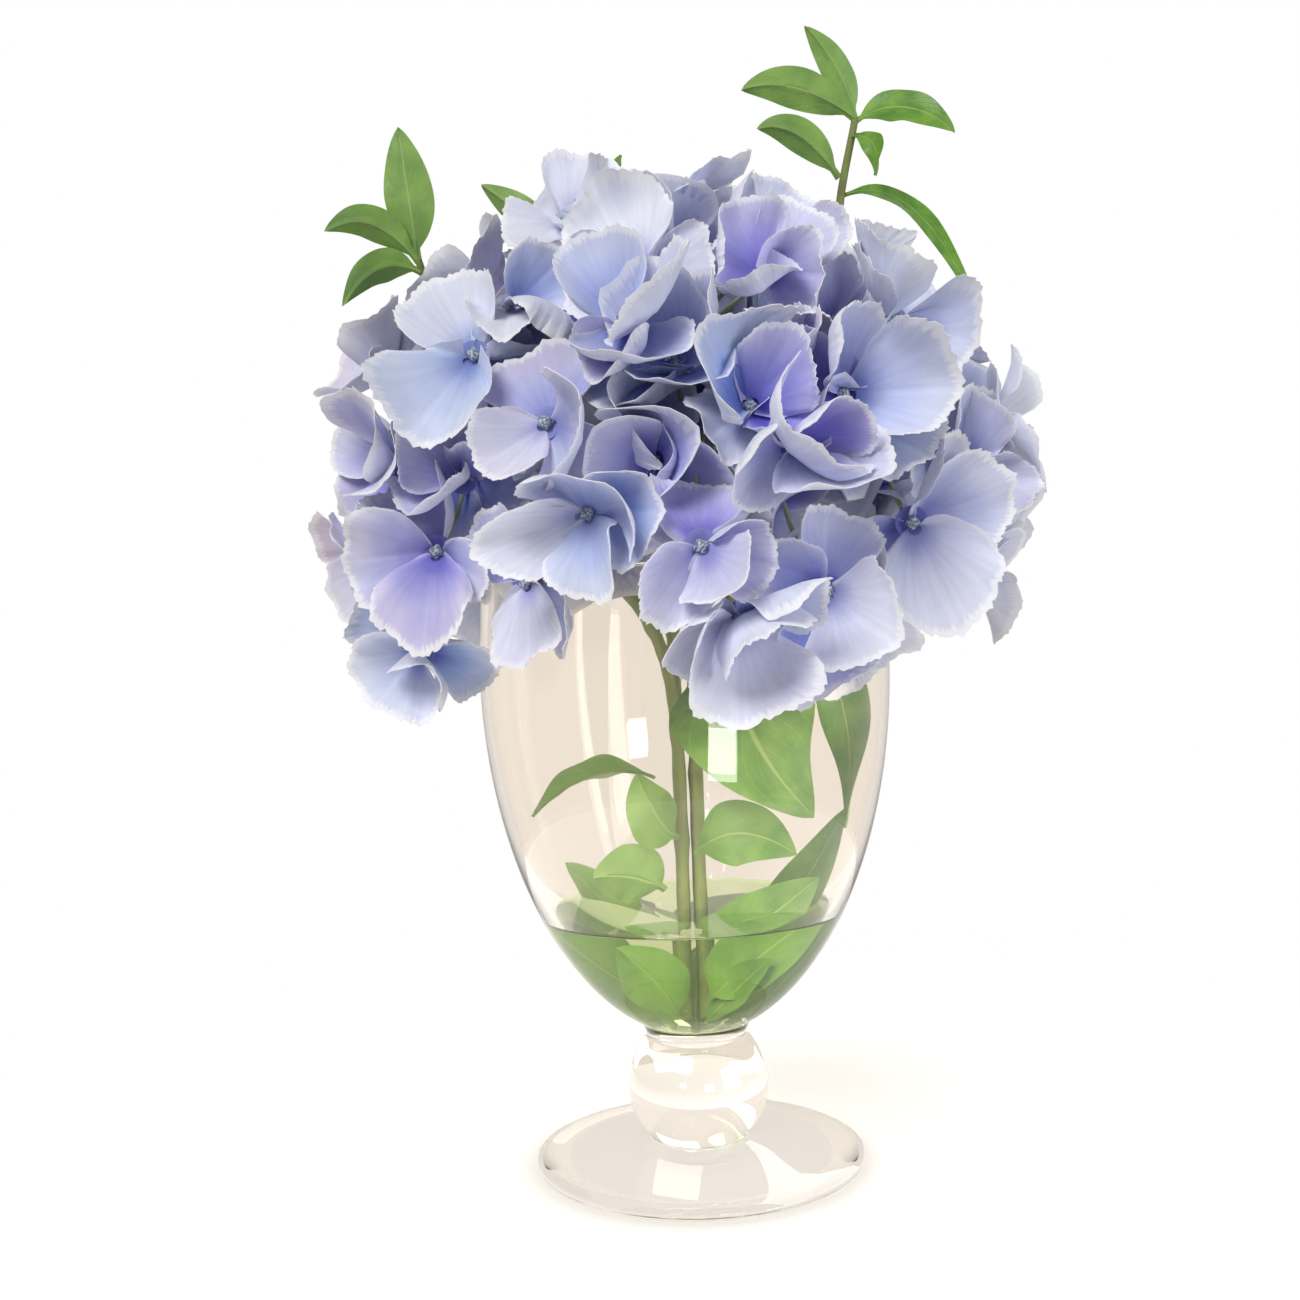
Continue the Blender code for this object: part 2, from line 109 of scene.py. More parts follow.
# Short leaves round the cut ends, which the CAD leaves out, given the same way.
FOOT_LEAVES = [
    ((-5, -9, 54), (-11, -15, 67), (-21, -21, 77), 19, 62),
    ((2, -10, 52), (9, -16, 62), (20, -20, 72), 17, 66),
    ((4, 9, 54), (13, 15, 67), (23, 20, 77), 24, 60),
    ((-4, 9, 53), (-13, 17, 66), (-20, 26, 76), 24, 62),
    ((7, -4, 52), (19, -6, 61), (31, -4, 75), 18, 60),
    ((0, 9, 51), (1, 11, 64), (3, 14, 77), 17, 62),
    ((8, 4, 54), (31, 2, 78), (51, 0, 110), 18, 64),
]

SPRIGS = {
    "sprig_left": (
        [(-74, 24, 262), (-78, 14, 278), (-82, 6, 294)],
        [((-82, 6, 294), (-84, 3, 315), (-86, 0, 335), 16, 34),
         ((-82, 6, 293), (-96, 2, 305), (-110, -4, 301), 11.5, 55),
         ((-81.5, 7, 290), (-95, 4, 291), (-106, 0, 278), 11.5, 55),
         ((-81, 8, 288), (-76, -2, 287), (-71, -8, 281), 10, 50)],
    ),
    "sprig_right": (
        [(64, 26, 262), (60, 20, 284), (57, 12, 306), (62, 4, 334)],
        [((62, 4, 334), (43, 2, 344), (25, 0, 343), 13, 70),
         ((62, 4, 334), (56, 2, 350), (46, 0, 363), 10, 75),
         ((62, 4, 333), (77, 0, 336), (92, -6, 325), 13.5, 65),
         ((57, 10, 317), (44, 8, 331), (30, 4, 332), 11, 60),
         ((61, 5, 329), (67, 0, 324), (66, -6, 312), 7.5, 50),
         ((57, 11, 311), (80, 6, 305), (99, 0, 268), 10, 45)],
    ),
}

# Which side of the bundle each head's stem is on, and how stems lean, as in the CAD.
STEM_SIDES = {"left": -45, "front": 45, "right": 135, "top": -135}
STEM_SPACING = 4.0 * MM
STEM_FOOT = 55 * MM
STEM_LEAN = [(0.7, 0), (0.88, 0.1), (1.0, 0.4)]


# ---- how each floret looks ---------------------------------------------------

@dataclass
class Look:
    """How a floret differs from its neighbours."""

    lavender: float = 0.5       # 0 is sky blue, 1 is lavender
    pale: float = 0.35          # 0 is deeply coloured, 1 is nearly white
    blush: float = 0.0          # pink towards the edges
    pitch: float = 26           # how far its sepals stand up from flat, degrees
    size: float = 1.0
    shift: tuple = (0, 0, 0)    # from the CAD floret's place, mm
    sepals: tuple = ()          # its listed sepals; none means four even ones


# Each listed sepal: from the floret's middle to its tip in mm, its width in mm,
# its roll about that line and its curl in degrees, then how lavender and how pale.
# The florets whose middles show come first: their neighbours tuck in around them.
LOOKS = {
    "floret_left_01": Look(sepals=(
        ((-17, -9, -21), 35, 0, -20, 0.05, 0.5),
        ((-14, 9, 19), 33, 0, 10, 0.1, 0.8),
        ((16, 15, -5), 27, 0, 0, 0.1, 0.3),
        ((12, 20, 12), 26, 0, 0, 0.2, 0.4))),
    "floret_front_01": Look(blush=0.25, shift=(2, -6, -1), sepals=(
        ((2, 2, 22), 45, 0, 20, 0.65, 0.25),
        ((-17, -8, -10), 24, -10, 15, 0.8, 0.75),
        ((8, -25, -10), 37, 25, 80, 0.5, 0.6),
        ((15, 8, -13), 24, 15, 10, 0.5, 0.3))),
    "floret_left_02": Look(blush=0.2, sepals=(
        ((-25, 2, -1), 31, -10, -10, 0.85, 0.3),
        ((-7, 10, 19), 29, 0, 15, 0.8, 0.3),
        ((13, -7, -9), 20, 10, 0, 0.7, 0.3),
        ((1, 0, -28), 29, 0, -15, 0.95, 0.15))),
    "floret_front_03": Look(shift=(0, 5, 0), sepals=(
        ((-14, -9, -16), 21, -10, 10, 0.95, 0.5),
        ((1, 11, 15), 30, 0, 15, 1.0, 0.15),
        ((17, 2, -2), 23, 0, 10, 1.0, 0.25),
        ((6, -14, -15), 26, 15, 55, 0.9, 0.6))),
    "floret_right_01": Look(sepals=(
        ((26, 2, 9), 28, 0, -15, 0.6, 0.45),
        ((10, -7, -27), 36, 0, -15, 0.5, 0.7),
        ((11, -4, 22), 24, 50, 10, 0.5, 0.7),
        ((-13, 6, -10), 22, 0, 0, 0.6, 0.1))),
    "floret_front_02": Look(sepals=(
        ((-26, -6, -9), 23, -25, 10, 0.7, 0.85),
        ((2, -17, 14), 36, 0, 80, 0.3, 0.3),
        ((17, -12, -1), 30, 15, 40, 0.2, 0.15),
        ((-2, -9, -21), 25, 20, 0, 0.2, 0.35))),
    "floret_right_02": Look(shift=(-7, -3, 0), sepals=(
        ((26, -9, 0), 33, 0, -25, 0.3, 0.45),
        ((16, -13, -19), 29, 0, 10, 0.25, 0.35),
        ((-3, -16, 19), 27, 40, 30, 0.5, 0.3),
        ((-19, -13, 9), 27, -35, 35, 1.0, 0.0))),
    "floret_front_07": Look(shift=(3, 3, -14), sepals=(
        ((-13, -16, 17), 40, 15, 35, 0.1, 0.1),
        ((-12, -16, -9), 24, -10, 40, 0.35, 0.7),
        ((13, -9, 17), 27, 0, 30, 0.9, 0.05),
        ((16, -16, -9), 27, -20, 30, 1.0, 0.0))),
    "floret_front_06": Look(shift=(0, 2, -1), sepals=(
        ((-22, -11, -2), 27, -35, 30, 0.6, 0.4),
        ((-6, -21, -8), 37, 0, 75, 0.9, 0.2),
        ((12, -20, -13), 37, -10, 70, 0.6, 0.6),
        ((14, -10, 15), 25, 30, 40, 1.0, 0.0))),
    "floret_front_04": Look(shift=(-3, -2, 6), sepals=(
        ((-23, -10, -3), 25, -20, 60, 0.7, 0.9),
        ((-6, -9, -24), 36, 0, -10, 0.75, 0.75),
        ((2, -24, -8), 30, 20, 75, 0.6, 0.75),
        ((14, -17, 12), 23, 30, 20, 0.35, 0.1))),
    "floret_front_05": Look(sepals=(
        ((-8, -12, -23), 31, 15, 35, 0.55, 0.0),
        ((18, -6, -13), 35, 10, 0, 0.6, 0.85),
        ((3, 3, 20), 29, 0, 20, 0.6, 0.3),
        ((-15, -9, 11), 25, -20, 30, 0.6, 0.1))),
    "floret_front_08": Look(shift=(0, -4, 0), sepals=(
        ((11, -25, 6), 40, -20, 75, 0.3, 0.6),
        ((3, -25, -6), 36, -20, 75, 0.5, 0.3),
        ((-4, -9, -20), 23, 10, 10, 1.0, 0.0),
        ((-8, 2, 22), 28, 0, 20, 0.3, 0.3))),
    "floret_front_09": Look(shift=(2, 2, 3), sepals=(
        ((14, -16, -14), 26, 20, 20, 0.7, 0.5),
        ((2, -10, -22), 25, 0, -10, 0.8, 0.8),
        ((12, -12, 14), 26, -25, 20, 0.7, 0.4),
        ((-12, -2, 16), 25, 0, 0, 0.9, 0.1))),
    "floret_top_01": Look(shift=(6, -3, -8), sepals=(
        ((-9, 6, 19), 36, 0, -15, 0.4, 1.0),
        ((18, -5, -3), 33, 0, 20, 0.75, 0.75),
        ((-4, -14, -9), 22, 0, 60, 0.3, 0.9),
        ((-19, 2, -8), 28, 0, 0, 0.5, 0.9))),
    "floret_top_03": Look(blush=0.2, sepals=(
        ((-5, -13, -17), 24, -15, 0, 0.6, 1.0),
        ((13, -8, -19), 29, 0, 0, 0.35, 0.5),
        ((14, -13, 9), 24, 30, 30, 0.2, 0.3),
        ((20, -17, -8), 30, 75, 20, 0.5, 0.8))),
    "floret_top_02": Look(sepals=(
        ((-12, -9, 13), 31, 0, 35, 1.0, 0.1),
        ((-4, -20, -9), 24, 55, 30, 0.9, 0.6),
        ((16, -10, -3), 28, 30, 25, 1.0, 0.3),
        ((13, 2, 19), 27, 0, 10, 0.9, 0.3))),
    "floret_left_04": Look(shift=(0, -2, 0), sepals=(
        ((-12, -4, -12), 32, 0, -20, 0.1, 0.6),
        ((-14, -8, 14), 26, 0, 10, 0.1, 0.3),
        ((20, -2, -4), 22, 20, 10, 0.15, 0.15),
        ((4, -14, -9), 20, 60, 10, 0.5, 0.7))),
    "floret_left_05": Look(0.6, 0.8, 0.7, pitch=34, size=0.8, shift=(15, -5, 2)),
    "floret_left_03": Look(0.9, 0.3, pitch=44, size=0.88, shift=(10, -4, 0)),
    "floret_left_06": Look(0.7, 0.65, 0.6, pitch=34, size=0.85, shift=(6, -2, -4)),
    "floret_left_07": Look(0.6, 0.6, 0.2, pitch=30, size=0.85, shift=(10, 0, 0)),
    "floret_right_03": Look(0.5, 0.75, 0.1, pitch=16, shift=(-4, 0, 0)),
    "floret_right_04": Look(shift=(0, -3, -7), sepals=(
        ((-9, -12, 21), 30, 72, 20, 0.3, 0.5),
        ((-1, -15, 16), 24, 85, 10, 0.4, 0.9),
        ((15, -6, -16), 33, 0, 10, 0.3, 0.4),
        ((13, 4, 9), 25, 0, 10, 0.6, 0.8))),
    "floret_right_05": Look(0.6, 0.7, pitch=36, size=0.85, shift=(-8, 0, -2)),
    "floret_right_06": Look(0.7, 0.75, 0.3, pitch=14, size=0.85, shift=(-11, 0, 3)),
    "floret_right_07": Look(0.7, 0.4, pitch=12, size=0.85, shift=(-10, -3, -8)),
    "floret_right_08": Look(0.7, 0.6, pitch=20, size=0.85, shift=(-10, 0, 0)),
    "floret_top_04": Look(shift=(-2, -3, -9), sepals=(
        ((-18, -10, -4), 32, -15, 50, 0.7, 0.8),
        ((3, 1, 17), 29, 0, 10, 0.6, 0.55),
        ((14, -12, -9), 26, 20, 20, 0.9, 0.5),
        ((-14, 6, 10), 26, 0, 0, 0.6, 0.6))),
    "floret_top_05": Look(shift=(7, -3, -6), sepals=(
        ((-12, -11, -10), 30, 0, -10, 0.6, 0.95),
        ((12, 3, 17), 33, 0, 10, 0.7, 0.8),
        ((-9, 8, 8), 26, 0, 0, 0.7, 0.8),
        ((14, -12, -2), 26, 0, 0, 0.5, 0.9))),
    "floret_top_06": Look(0.7, 0.6, pitch=-4, size=0.85, shift=(2, -2, -12)),
    "floret_top_07": Look(0.7, 0.5, pitch=4, size=0.85, shift=(-3, -3, -10)),
    "floret_top_08": Look(0.7, 0.65, 0.6, pitch=12, size=0.85, shift=(5, -4, -8)),
    "floret_top_09": Look(0.7, 0.7, pitch=4, size=0.85, shift=(0, 0, -9)),
    "floret_top_10": Look(0.6, 0.6, pitch=6, size=0.85, shift=(-6, -4, -4)),
}

# Florets which the CAD leaves out, between its own: head, place in mm, and look.
BETWEEN = [
    ("front", (-12, -62, 222), Look(sepals=(
        ((-12, -20, 11), 30, 40, 20, 0.4, 0.8),
        ((-1, -24, -12), 34, 45, 25, 0.4, 0.7),
        ((16, -6, 10), 26, 0, 20, 0.8, 0.1)))),
    ("right", (29, -68, 232), Look(blush=0.3, sepals=(
        ((-7, -20, 13), 27, -60, 30, 1.0, 0.0),
        ((5, -22, 12), 25, -75, 30, 1.0, 0.1),
        ((-14, -16, -3), 25, -25, 35, 0.95, 0.05),
        ((8, -14, 19), 24, 20, 30, 0.7, 0.2)))),
    ("left", (-62, -53, 214), Look(sepals=(
        ((-18, -12, 10), 26, 0, 20, 0.8, 0.5),
        ((12, -17, 7), 24, 50, 20, 0.9, 0.3),
        ((-4, -17, -14), 26, 30, 10, 0.8, 0.2)))),
    ("right", (84, -40, 214), Look(blush=0.2, sepals=(
        ((8, -16, 15), 24, 40, 20, 0.3, 0.2),
        ((16, -8, -12), 28, 0, 0, 0.7, 0.7),
        ((-4, -14, 16), 26, -40, 20, 0.7, 0.5)))),
    ("right", (49, -20, 262), Look(sepals=(
        ((-10, -8, 16), 27, 0, 20, 0.8, 0.4),
        ((14, -10, 8), 26, 0, 20, 0.6, 0.5),
        ((3, -20, -8), 26, 20, 40, 0.9, 0.4)))),
]


# ---- small tools -------------------------------------------------------------

def mm(point):
    """A point given in mm, in metres."""
    return Vector(point) * MM


def quadratic(start, middle, end, t):
    """A point on the smooth curve that passes through middle at t = 0.5."""
    control = middle * 2 - (start + end) / 2
    return start * (1 - t) ** 2 + control * 2 * t * (1 - t) + end * t ** 2


def smooth_path(points, steps):
    """Catmull-Rom points through the given ones, steps to each span."""
    ends = [points[0] * 2 - points[1], *points, points[-1] * 2 - points[-2]]
    path = []
    for a, b, c, d in zip(ends, ends[1:], ends[2:], ends[3:]):
        for i in range(steps):
            t = i / steps
            path.append(0.5 * (b * 2 + (c - a) * t + (a * 2 - b * 5 + c * 4 - d) * t * t
                               + (b * 3 - a - c * 3 + d) * t ** 3))
    return [*path, points[-1]]


class Mesh:
    """Collects vertices and faces, with a UV and a tint for each vertex."""

    def __init__(self):
        self.verts, self.faces, self.slots = [], [], []
        self.uvs, self.tints = [], []

    def add(self, verts, faces, slot, uvs=None, tint=(0.5, 0.5, 0.0)):
        first = len(self.verts)
        self.verts += [tuple(v) for v in verts]
        self.faces += [tuple(first + i for i in face) for face in faces]
        self.slots += [slot] * len(faces) if isinstance(slot, int) else list(slot)
        self.uvs += [tuple(uv) for uv in uvs] if uvs is not None else [(0.5, 0.5)] * len(verts)
        self.tints += [(*tint, 1.0)] * len(verts)

    def build(self, name, looks, sharp=50):
        """The object, riding on the root body."""
        data = bpy.data.meshes.new(name)
        data.from_pydata(self.verts, [], self.faces)
        for look in looks:
            data.materials.append(look)
        data.polygons.foreach_set("material_index", self.slots)
        corners = np.empty(len(data.loops), np.int64)
        data.loops.foreach_get("vertex_index", corners)
        layer = data.uv_layers.new(name="surface")
        layer.data.foreach_set("uv", np.array(self.uvs, np.float32)[corners].ravel())
        tint = data.attributes.new("tint", "FLOAT_COLOR", "POINT")
        tint.data.foreach_set("color", np.array(self.tints, np.float32).ravel())
        data.shade_smooth()
        data.set_sharp_from_angle(angle=math.radians(sharp))
        obj = bpy.data.objects.new(name, data)
        bpy.context.scene.collection.objects.link(obj)
        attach(obj, "root")
        return obj

    def stand_for(self, node, name, looks):
        """The object that takes a CAD node's place."""
        obj = self.build(name, looks)
        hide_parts(node)
        return obj


def ring_faces(rings, around):
    """Quads between rings of vertices that follow each other, then the two end caps."""
    faces = []
    for i in range(rings - 1):
        for k in range(around):
            n = (k + 1) % around
            faces.append((i * around + k, i * around + n, (i + 1) * around + n, (i + 1) * around + k))
    faces.append(tuple(reversed(range(around))))
    faces.append(tuple((rings - 1) * around + k for k in range(around)))
    return faces


def border_faces(rows, columns):
    """Quads round the edge of a grid, which join it to the grid of its other side."""
    border = list(range(columns))
    border += [i * columns + columns - 1 for i in range(1, rows)]
    border += [(rows - 1) * columns + j for j in range(columns - 2, -1, -1)]
    border += [i * columns for i in range(rows - 2, 0, -1)]
    count = rows * columns
    return [(b, a, count + a, count + b) for a, b in zip(border, border[1:] + border[:1])]


def add_tube(mesh, path, radii, slot, sides=8):
    """A round tube along a path, with a radius at each point and closed ends."""
    verts, uvs = [], []
    across = Vector((1, 0, 0.01))
    for i, (place, radius) in enumerate(zip(path, radii)):
        along = (path[min(i + 1, len(path) - 1)] - path[max(i - 1, 0)]).normalized()
        across = (across - along * across.dot(along)).normalized()
        other = along.cross(across)
        for k in range(sides):
            turn = math.tau * k / sides
            verts.append(place + (across * math.cos(turn) + other * math.sin(turn)) * radius)
            uvs.append((k / sides, i / (len(path) - 1)))
    mesh.add(verts, ring_faces(len(path), sides), slot, uvs)


# ---- node materials ----------------------------------------------------------

class Nodes:
    """A node tree under construction, with short calls for the nodes used here."""

    def __init__(self, name):
        self.material = bpy.data.materials.new(name)
        self.material.use_nodes = True
        self.tree = self.material.node_tree
        self.shader = self.tree.nodes["Principled BSDF"]

    def new(self, kind, values=None, **links):
        """A node with some settings, and inputs given by name with _ for each space."""
        node = self.tree.nodes.new(kind)
        for name, value in (values or {}).items():
            setattr(node, name, value)
        for name, value in links.items():
            self.put(node.inputs[name.replace("_", " ")], value)
        return node

    def put(self, socket, value):
        if isinstance(value, bpy.types.NodeSocket):
            self.tree.links.new(value, socket)
        else:
            socket.default_value = value

    def set(self, **inputs):
        """Sets the Principled shader's inputs, named with _ for each space."""
        for name, value in inputs.items():
            self.put(self.shader.inputs[name.replace("_", " ")], value)

    def math(self, operation, a, b=0.0, c=0.0):
        node = self.tree.nodes.new("ShaderNodeMath")
        node.operation = operation
        for socket, value in zip(node.inputs, (a, b, c)):
            self.put(socket, value)
        return node.outputs[0]

    def ramp(self, value, low, high, to_low=0.0, to_high=1.0):
        """value from low..high to to_low..to_high with a smooth step, clamped."""
        node = self.new("ShaderNodeMapRange", {"interpolation_type": "SMOOTHSTEP"},
                        Value=value, From_Min=low, From_Max=high, To_Min=to_low, To_Max=to_high)
        return node.outputs[0]

    def mix(self, factor, a, b, blend="MIX"):
        node = self.tree.nodes.new("ShaderNodeMix")
        node.data_type = "RGBA"
        node.blend_type = blend
        self.put(node.inputs["Factor"], factor)
        for socket, value in ((node.inputs[6], a), (node.inputs[7], b)):
            self.put(socket, (*value, 1.0) if isinstance(value, tuple) else value)
        return node.outputs[2]

    def noise(self, coordinates, scale, detail=2.0):
        return self.new("ShaderNodeTexNoise", Vector=coordinates, Scale=scale,
                        Detail=detail).outputs["Fac"]

    def place(self):
        return self.tree.nodes.new("ShaderNodeTexCoord").outputs["Object"]

    def surface(self):
        """(u, v) of the piece's own UV map."""
        uv = self.new("ShaderNodeUVMap", {"uv_map": "surface"}).outputs[0]
        parts = self.new("ShaderNodeSeparateXYZ", Vector=uv)
        return parts.outputs[0], parts.outputs[1]

    def tint(self):
        """The three values of the tint attribute."""
        colour = self.new("ShaderNodeAttribute", {"attribute_name": "tint"}).outputs["Color"]
        return self.new("ShaderNodeSeparateColor", Color=colour).outputs[:3]

    def stretched(self, u, v, across, along):
        """Coordinates for streaks: u and v times across and along."""
        return self.new("ShaderNodeCombineXYZ", X=self.math("MULTIPLY", u, across),
                        Y=self.math("MULTIPLY", v, along)).outputs[0]

    def bump(self, height, strength, distance):
        self.set(Normal=self.new("ShaderNodeBump", Strength=strength, Distance=distance,
                                 Height=height).outputs[0])


def srgb(red, green, blue):
    """A linear colour from 0-255 screen values."""
    return tuple((c / 255 / 12.92) if c < 11 else ((c / 255 + 0.055) / 1.055) ** 2.4
                 for c in (red, green, blue))


def sepal_material(name, back):
    """Deep at the base, paler outwards, with a frayed white edge; the back is paler. The deep base is
    partly the dye and partly painted shade towards the floret's middle.
    """
    n = Nodes(name)
    s, t = n.surface()
    lavender, pale, blush = n.tint()
    cloud = n.noise(n.place(), 60, 3)
    reach = n.math("ADD", t, n.math("MULTIPLY_ADD", cloud, 0.6, -0.3))
    # The deep colour at the base is partly dye and partly painted shade where the sepals meet in the
    # floret's middle.
    deep_base_and_shade = n.mix(lavender, srgb(70, 106, 188), srgb(94, 86, 192))
    middle = n.mix(lavender, srgb(124, 158, 222), srgb(146, 142, 222))
    outer = n.mix(lavender, srgb(196, 212, 242), srgb(212, 206, 244))
    colour = n.mix(n.ramp(reach, 0.05, 0.55), deep_base_and_shade, middle)
    colour = n.mix(n.ramp(reach, 0.45, 1.0), colour, outer)
    fading = n.math("MULTIPLY", pale, n.ramp(reach, 0.0, 0.5, 0.3, 0.95))
    colour = n.mix(fading, colour, srgb(236, 238, 250))
    pink = n.math("MULTIPLY", blush, n.ramp(reach, 0.5, 1.0, 0.0, 0.7))
    colour = n.mix(pink, colour, srgb(226, 184, 208))
    if back:
        colour = n.mix(0.8, colour, srgb(226, 230, 248))
    streaks = n.noise(n.stretched(s, t, 34, 1.6), 1.0, 4)
    colour = n.mix(0.1, colour, n.mix(n.ramp(streaks, 0.35, 0.65), srgb(120, 120, 150),
                                      srgb(255, 255, 255)), "MULTIPLY")
    off_base = n.math("MULTIPLY", n.ramp(s, 0.08, 0.3), n.ramp(s, 0.92, 0.7))
    frayed = n.noise(n.stretched(s, t, 150, 6), 1.0, 3)
    rim = n.math("MULTIPLY", n.ramp(n.math("MULTIPLY_ADD", frayed, 0.14, t), 0.965, 1.04), off_base)
    colour = n.mix(n.math("MULTIPLY", rim, 0.9), colour, srgb(248, 248, 252))
    n.set(Base_Color=colour, Roughness=0.62, Specular_IOR_Level=0.3, Sheen_Weight=0.2,
          Sheen_Roughness=0.45, Subsurface_Weight=0.22, Subsurface_Scale=0.003,
          Subsurface_Radius=(1.0, 0.9, 1.1))
    crinkle = n.math("ADD", n.math("MULTIPLY", streaks, 1.2), n.noise(n.place(), 900, 2))
    n.bump(crinkle, 0.35, 0.25 * MM)
    return n.material


def bead_material():
    n = Nodes("bead")
    speck = n.noise(n.place(), 1400, 3)
    colour = n.mix(n.ramp(speck, 0.4, 0.62), srgb(92, 112, 138), srgb(196, 206, 206))
    n.set(Base_Color=colour, Roughness=0.5, Subsurface_Weight=0.1, Subsurface_Scale=0.001)
    n.bump(speck, 0.5, 0.3 * MM)
    return n.material


def stalk_material(name, low, high, dark):
    """Fibrous green, streaked lengthwise, with darker patches."""
    n = Nodes(name)
    u, v = n.surface()
    fibres = n.noise(n.stretched(u, v, 26, 3), 1.0, 3)
    patches = n.noise(n.place(), 70, 3)
    colour = n.mix(fibres, low, high)
    colour = n.mix(n.ramp(patches, 0.52, 0.7, 0.0, 0.6), colour, dark)
    n.set(Base_Color=colour, Roughness=0.5, Subsurface_Weight=0.08, Subsurface_Scale=0.001)
    n.bump(n.math("ADD", fibres, patches), 0.4, 0.3 * MM)
    return n.material


def leaf_material(name, green, light, back):
    """A leaf with a pale midrib, branching side veins and uneven greens."""
    n = Nodes(name)
    u, v = n.surface()
    beside = n.math("ABSOLUTE", n.math("SUBTRACT", u, 0.5))
    slant = n.math("SUBTRACT", n.math("MULTIPLY", v, 9.0), n.math("MULTIPLY", beside, 7.0))
    between = n.math("ABSOLUTE", n.math("SUBTRACT", n.math("FRACT", slant), 0.5))
    side_vein = n.ramp(between, 0.455, 0.5)
    midrib = n.ramp(beside, 0.028, 0.010)
    veins = n.math("MAXIMUM", midrib, n.math("MULTIPLY", side_vein, 0.5))
    mottle = n.noise(n.place(), 110, 4)
    fine = n.noise(n.place(), 900, 2)
    colour = n.mix(n.ramp(mottle, 0.3, 0.7), green, light)
    colour = n.mix(n.math("MULTIPLY", fine, 0.25), colour, srgb(60, 92, 30))
    colour = n.mix(n.math("MULTIPLY", veins, 0.55), colour, srgb(176, 196, 120))
    if back:
        colour = n.mix(0.35, colour, srgb(160, 188, 116))
    n.set(Base_Color=colour, Roughness=n.ramp(mottle, 0.2, 0.8, 0.36, 0.52),
          Specular_IOR_Level=0.45, Subsurface_Weight=0.1, Subsurface_Scale=0.002,
          Subsurface_Radius=(0.6, 1.0, 0.3))
    height = n.math("SUBTRACT", n.math("MULTIPLY", fine, 0.4), veins)
    n.bump(height, 0.5, 0.35 * MM)
    return n.material


def two_sided(material, name, *colours):
    """A piece's materials for its front and its back."""
    return [material(f"{name}_front", *colours, back=False),
            material(f"{name}_back", *colours, back=True)]


def clear_material(name, colour, ior, waviness):
    """Clear glass or water, a little uneven, which lets the lamps' light through."""
    n = Nodes(name)
    swirl = n.noise(n.place(), 26, 2)
    smudge = n.noise(n.place(), 180, 4)
    n.set(Base_Color=(*colour, 1.0), Roughness=n.ramp(smudge, 0.45, 0.8, 0.0, 0.02), IOR=ior,
          Transmission_Weight=1.0)
    n.bump(swirl, 1.0, waviness)
    lamps = n.new("ShaderNodeBsdfTransparent", Color=(*colour, 1.0)).outputs[0]
    is_shadow = n.new("ShaderNodeLightPath").outputs["Is Shadow Ray"]
    both = n.new("ShaderNodeMixShader", Fac=is_shadow)
    n.put(both.inputs[1], n.shader.outputs[0])
    n.put(both.inputs[2], lamps)
    n.put(n.tree.nodes["Material Output"].inputs["Surface"], both.outputs[0])
    return n.material


def floor_material():
    """Painted shadow: a warm even grey pool under the foot. Off it the floor is paler and glows more
    and more outwards, which is painted light that meets the white around it.
    """
    n = Nodes("floor")
    grain = n.noise(n.place(), 400, 3)
    parts = n.new("ShaderNodeSeparateXYZ", Vector=n.place())
    away = n.math("SQRT", n.math("ADD", n.math("POWER", parts.outputs[0], 2.0),
                                 n.math("POWER", parts.outputs[1], 2.0)))
    # Emission as painted light: a little lower over the foot's pool, then rising outwards to cover
    # the floor's shadows.
    painted_glow = n.math("ADD", n.ramp(away, 0.050, 0.060, 0.66, 0.72), n.ramp(away, 0.06, 0.2, 0.0, 0.25))
    pale = n.mix(grain, srgb(180, 176, 170), srgb(186, 183, 178))
    # The dark warm grey under the foot is a painted shadow.
    n.set(Base_Color=n.mix(n.ramp(away, 0.050, 0.060), srgb(118, 114, 108), pale), Roughness=0.9,
          Emission_Color=(1.0, 0.965, 0.92, 1), Emission_Strength=painted_glow)
    return n.material


# ---- vase and water ----------------------------------------------------------

def turned(mesh, profile, slot):
    """Turns (radius, height) points about Z; the profile starts and ends on the axis."""
    ring = [(math.cos(math.tau * k / TURNS), math.sin(math.tau * k / TURNS))
            for k in range(TURNS)]
    inner = profile[1:-1]
    verts = [(0, 0, profile[0][1]), (0, 0, profile[-1][1])]
    for r, z in inner:
        verts += [(r * c, r * s, z) for c, s in ring]
    faces = []
    last = 2 + (len(inner) - 1) * TURNS
    for k in range(TURNS):
        n = (k + 1) % TURNS
        faces.append((0, 2 + n, 2 + k))
        faces.append((1, last + k, last + n))
        for i in range(len(inner) - 1):
            a = 2 + i * TURNS
            faces.append((a + k, a + n, a + TURNS + n, a + TURNS + k))
    mesh.add(verts, faces, slot)


def rounded(profile, passes):
    """Rounds a profile's corners by cutting them, and leaves its ends."""
    for _ in range(passes):
        cut = [profile[0]]
        for (r0, z0), (r1, z1) in zip(profile, profile[1:]):
            cut.append((0.75 * r0 + 0.25 * r1, 0.75 * z0 + 0.25 * z1))
            cut.append((0.25 * r0 + 0.75 * r1, 0.25 * z0 + 0.75 * z1))
        profile = [*cut, profile[-1]]
    return profile


def bowl(radius, depth, low, high, count):
    """Points of the bowl's ellipse between two heights, closer together low down."""
    heights = [low + (high - low) * (i / count) ** 1.6 for i in range(count + 1)]
    return [(radius * math.sqrt(1 - ((BOWL_WAIST - z) / depth) ** 2), z) for z in heights]


